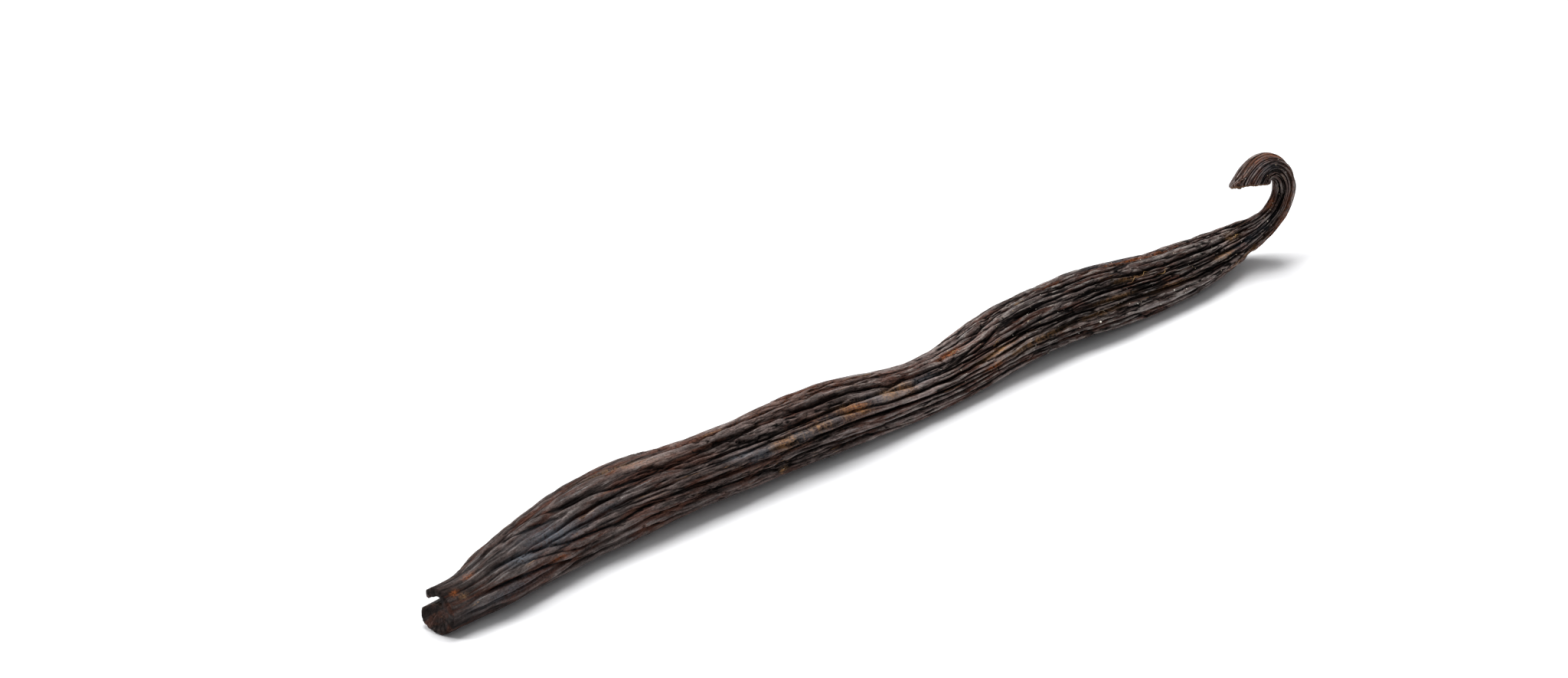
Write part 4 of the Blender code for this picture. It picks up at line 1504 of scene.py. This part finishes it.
    def oiliness(self, desk: NodeDesk, maps: SkinMaps) -> Socket:
        """How much oil lies on the skin: most on the crests, and more of it towards the stem.

        Args:
            desk: Where the nodes go.
            maps: What varies over the skin.

        Returns:
            The weight of the coat.
        """
        oily = desk.maths("MULTIPLY", desk.between(maps.furrow, 0.0, 0.5, 0.8, 0.0),
                          desk.between(maps.along, 8.0, 110.0, 0.4, 1.5))
        oily = desk.maths("MULTIPLY", oily, desk.between(maps.crest, -0.5, 0.5, 0.25, 1.0))
        oily = desk.maths("MULTIPLY", oily, desk.between(maps.along, 0.8, 5.0, 0.0, 1.0))
        return desk.maths("MINIMUM", oily, 1.0)


@dataclass(frozen=True)
class ScarFinish:
    """Dry, fibrous flesh: dark in the split blossom end, darkened further as painted shade inside the split,
    and golden brown on the stem's scar.
    """

    # painted shade: the flesh inside the split is made darker than its own colour
    dark: Colour = (0.020, 0.012, 0.009)
    brown: Colour = (0.050, 0.026, 0.014)
    golden: Colour = (0.17, 0.075, 0.026)
    roughness: float = 0.72
    stem_half: float = 90.0
    bump_distance: float = 0.09

    def build(self, groups: GrainGroups) -> bpy.types.Material:
        """Make the material.

        Args:
            groups: The shared node groups.

        Returns:
            The finished material.
        """
        material, desk, shader = new_material("dry_scar")
        unrolled = desk.attribute("straight", "Vector")
        along = desk.add("ShaderNodeSeparateXYZ", {"Vector": unrolled}).outputs["X"]
        stem = desk.maths("GREATER_THAN", along, self.stem_half)
        grain = desk.place(groups.grain, unrolled=unrolled, along=2.4, across=2.6, detail=5.0)
        streaks = desk.place(groups.streaks, unrolled=unrolled, along=1.2, across=3.5, threshold=0.52,
                             softness=0.12)
        colour = desk.blend(desk.between(grain, 0.35, 0.65), self.dark, self.brown)
        golden = desk.maths("MULTIPLY", stem, desk.between(grain, 0.3, 0.6, 0.25, 0.9))
        golden = desk.maths("MAXIMUM", golden, desk.maths("MULTIPLY", streaks, 0.18))
        colour = desk.blend(golden, colour, self.golden)
        desk.feed(shader.inputs["Base Color"], colour)
        desk.feed(shader.inputs["Roughness"], self.roughness)
        height = desk.place(groups.wrinkles, unrolled=unrolled, cracks=0.8, creases=0.8, grain=1.0)
        bump = desk.add("ShaderNodeBump", {
            "Strength": 1.0, "Distance": self.bump_distance * MM, "Height": height})
        desk.feed(shader.inputs["Normal"], bump.outputs[0])
        return material


@dataclass(frozen=True)
class BitFinish:
    """The finish of small things that lie on the skin: a plain colour that varies from place to place."""

    name: str
    low: Colour
    high: Colour
    roughness: float
    scale: float

    def build(self) -> bpy.types.Material:
        """Make the material.

        Returns:
            The finished material.
        """
        material, desk, shader = new_material(self.name)
        place = desk.add("ShaderNodeTexCoord", {}).outputs["Object"]
        noise = desk.add("ShaderNodeTexNoise", {"Vector": place, "Scale": self.scale, "Detail": 2.0})
        colour = desk.blend(desk.between(noise.outputs[0], 0.4, 0.6), self.low, self.high)
        desk.feed(shader.inputs["Base Color"], colour)
        desk.feed(shader.inputs["Roughness"], self.roughness)
        return material


@dataclass
class Crystals:
    """Specks of vanillin and dried juice that catch the light on the ridges.

    Rows of placed are a distance along the pod, a bearing in degrees and a radius.
    """

    skin: PodSkin
    placed: Table = ((91.2, 188.0, 0.10), (109.3, 181.0, 0.17), (125.9, 181.0, 0.10), (116.7, 175.0, 0.08),
                     (120.8, 189.0, 0.09), (115.6, 170.0, 0.08), (123.6, 173.0, 0.11), (53.2, 204.0, 0.16),
                     (33.0, 150.0, 0.05), (82.0, 118.0, 0.07), (148.8, 100.0, 0.08))
    scattered: int = 360
    reach: tuple[float, float] = (84.0, 159.0)
    sizes: tuple[float, float] = (0.03, 0.085)
    seed: int = 33

    def build(self, finish: bpy.types.Material) -> bpy.types.Object:
        """Make all the specks as one mesh.

        Args:
            finish: Their material.

        Returns:
            The piece.
        """
        rng = np.random.default_rng(self.seed)
        specks = list(self.placed)
        specks += [(rng.uniform(*self.reach), rng.uniform(0.0, 360.0), rng.uniform(*self.sizes))
                   for _ in range(self.scattered)]
        shape = bmesh.new()
        for along, bearing, size in specks:
            point, out = self.skin.surface_at(along, bearing)
            made = bmesh.ops.create_icosphere(shape, subdivisions=1, radius=1.0)["verts"]
            for vert in made:
                vert.co = Vector(c * size * s for c, s in zip(vert.co, rng.uniform(0.6, 1.2, 3)))
                vert.co = (point + out * size * 0.3 + vert.co) * MM
        mesh = bpy.data.meshes.new("crystals")
        shape.to_mesh(mesh)
        shape.free()
        mesh.materials.append(finish)
        piece = bpy.data.objects.new("crystals", mesh)
        bpy.context.scene.collection.objects.link(piece)
        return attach(piece, BODY)


@dataclass
class Fibres:
    """Loose golden hairs of the dried skin, each following a curl over the ridges.

    Rows of placed are a distance along the pod, a bearing in degrees and a length.
    """

    skin: PodSkin
    placed: Table = ((118.4, 123.0, 2.4), (120.6, 116.0, 2.8), (123.8, 127.0, 2.2), (139.6, 118.0, 1.8),
                     (139.5, 199.0, 3.2), (92.0, 128.0, 1.6), (85.2, 101.0, 1.6),
                     (70.0, 40.0, 3.0), (110.0, 330.0, 2.6))
    radius: float = 0.042
    clearance: float = 0.13
    curl_across: float = 0.2
    curl_along: float = 0.1
    smoothings: int = 9
    sides: int = 5
    points: int = 26
    seed: int = 44

    def path(self, rng: np.random.Generator, along: float, bearing: float, length: float) -> list[Vector]:
        """One hair's curl over the skin.

        Args:
            rng: The seeded source of its curl.
            along: Where along the pod its middle is.
            bearing: Where round the pod its middle is, in degrees.
            length: Its length.

        Returns:
            Its points in millimetres.
        """
        radius = float(self.skin.relief.girth.radius(np.array([along]))[0])
        waves = rng.uniform(1.2, 2.4)
        phase = rng.uniform(0.0, FULL_TURN)
        path = []
        for t in np.linspace(-0.5, 0.5, self.points):
            curl = self.curl_across * math.sin(FULL_TURN * waves * t + phase)
            swing = self.curl_along * math.cos(FULL_TURN * waves * t * 1.3 + phase)
            forward = along + length * t * 0.8 + swing
            turn = bearing - math.degrees((curl + 0.25 * length * t) / radius)
            point, out = self.skin.surface_at(forward, turn)
            path.append(point + out * (self.radius + self.clearance + 0.06 * math.cos(9.0 * t)))
        for _ in range(self.smoothings):
            eased = [(a + b * 2.0 + c) / 4.0 for a, b, c in zip(path, path[1:], path[2:])]
            path = [path[0], *eased, path[-1]]
        return path

    def build(self, finish: bpy.types.Material) -> bpy.types.Object:
        """Make all the hairs as one mesh.

        Args:
            finish: Their material.

        Returns:
            The piece.
        """
        rng = np.random.default_rng(self.seed)
        shape = bmesh.new()
        for along, bearing, length in self.placed:
            self.add_hair(shape, self.path(rng, along, bearing, length))
        mesh = bpy.data.meshes.new("fibres")
        shape.to_mesh(mesh)
        shape.free()
        mesh.shade_smooth()
        mesh.materials.append(finish)
        piece = bpy.data.objects.new("fibres", mesh)
        bpy.context.scene.collection.objects.link(piece)
        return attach(piece, BODY)

    def add_hair(self, shape: bmesh.types.BMesh, path: list[Vector]) -> None:
        """Add one hair: a thin tube that tapers to both ends.

        Args:
            shape: The mesh that it is added to.
            path: Its points in millimetres.
        """
        rings = []
        for i, point in enumerate(path):
            ahead = (path[min(i + 1, len(path) - 1)] - path[max(i - 1, 0)]).normalized()
            side = (side - ahead * side.dot(ahead) if rings else ahead.orthogonal()).normalized()
            up = ahead.cross(side)
            thick = self.radius * math.sin(math.pi * (i + 0.6) / (len(path) + 0.2)) ** 0.5
            rings.append([shape.verts.new((point + (side * math.cos(a) + up * math.sin(a)) * thick) * MM)
                          for a in np.linspace(0.0, FULL_TURN, self.sides, endpoint=False)])
        for ring, following in zip(rings, rings[1:]):
            for k in range(self.sides):
                j = (k + 1) % self.sides
                shape.faces.new((ring[k], ring[j], following[j], following[k]))
        shape.faces.new(rings[0][::-1])
        shape.faces.new(rings[-1])


@dataclass
class Studio:
    """A pale floor, soft light from overhead and behind, and the photograph's camera."""

    aim: tuple[float, float, float] = (7.78, 23.86, 0.0)
    azimuth: float = math.radians(-45.6)
    elevation: float = math.radians(25.0)
    distance: float = 555.0
    lens: float = 100.0
    floor_radius: float = 4000.0
    floor_colour: Colour = (0.93, 0.93, 0.94)
    floor_roughness: float = 0.9
    sky: float = 0.36
    sky_colour: Colour = (0.98, 0.99, 1.0)
    key_power: float = 8.4
    key_size: float = 580.0
    key_place: tuple[float, float, float] = (160.0, 260.0, 900.0)
    rim_power: float = 3.0
    rim_size: float = 280.0
    rim_place: tuple[float, float, float] = (-420.0, 380.0, 520.0)

    def build_floor(self) -> bpy.types.Object:
        """The floor, which isn't part of the object.

        Returns:
            The floor.
        """
        material, desk, shader = new_material("studio_floor")
        desk.feed(shader.inputs["Base Color"], self.floor_colour)
        desk.feed(shader.inputs["Roughness"], self.floor_roughness)
        shape = bmesh.new()
        bmesh.ops.create_circle(shape, cap_ends=True, segments=96, radius=self.floor_radius * MM)
        mesh = bpy.data.meshes.new("floor")
        shape.to_mesh(mesh)
        shape.free()
        mesh.materials.append(material)
        floor = bpy.data.objects.new("floor", mesh)
        bpy.context.scene.collection.objects.link(floor)
        return floor

    def add_softbox(self, name: str, place: tuple[float, float, float], size: float, power: float) -> None:
        """Hang a square soft light that faces the pod.

        Args:
            name: The light's name.
            place: Where it hangs.
            size: The length of its sides.
            power: Its power in watts.
        """
        lamp = bpy.data.lights.new(name, "AREA")
        lamp.size = size * MM
        lamp.energy = power
        box = bpy.data.objects.new(name, lamp)
        box.location = Vector(place) * MM
        box.rotation_euler = (-box.location).to_track_quat("-Z", "Y").to_euler()
        bpy.context.scene.collection.objects.link(box)

    def build_light(self) -> None:
        """Pale surroundings and two softboxes."""
        world = bpy.data.worlds.new("studio")
        world.use_nodes = True
        backdrop = world.node_tree.nodes["Background"]
        backdrop.inputs["Color"].default_value = (*self.sky_colour, 1.0)
        backdrop.inputs["Strength"].default_value = self.sky
        bpy.context.scene.world = world
        self.add_softbox("overhead", self.key_place, self.key_size, self.key_power)
        self.add_softbox("behind", self.rim_place, self.rim_size, self.rim_power)
        bpy.context.scene.view_settings.view_transform = "Standard"

    def build_camera(self) -> None:
        """The camera at the photograph's angle and framing."""
        data = bpy.data.cameras.new("camera")
        data.lens = self.lens
        camera = bpy.data.objects.new("camera", data)
        toward = Vector((math.sin(self.azimuth) * math.cos(self.elevation),
                         -math.cos(self.azimuth) * math.cos(self.elevation), math.sin(self.elevation)))
        camera.location = (Vector(self.aim) + toward * self.distance) * MM
        camera.rotation_euler = (-toward).to_track_quat("-Z", "Y").to_euler()
        bpy.context.scene.collection.objects.link(camera)
        bpy.context.scene.camera = camera

    def build(self) -> None:
        """Set up the whole studio."""
        self.build_floor()
        self.build_light()
        self.build_camera()


def report(piece: bpy.types.Object) -> None:
    """Say what a piece came to.

    Args:
        piece: The piece.
    """
    mesh = piece.data
    triangles = sum(len(face.vertices) - 2 for face in mesh.polygons)
    log.info("%s: %d points, %d triangles", piece.name, len(mesh.vertices), triangles)


def main() -> None:
    """Build the studio, the skin and what lies on it."""
    logging.basicConfig(level=logging.INFO, format="%(name)s: %(message)s")
    Studio().build()
    groups = GrainGroups()
    girth = Girth()
    skin = PodSkin(Spine(girth), Relief(girth), Mouth())
    report(skin.build([SkinFinish().build(groups), ScarFinish().build(groups)]))
    crystal = BitFinish("crystal", (0.62, 0.48, 0.28), (0.85, 0.80, 0.70), 0.25, 900.0)
    report(Crystals(skin).build(crystal.build()))
    hair = BitFinish("golden_hair", (0.20, 0.09, 0.03), (0.42, 0.24, 0.08), 0.45, 700.0)
    report(Fibres(skin).build(hair.build()))


if __name__ == "__main__":
    main()
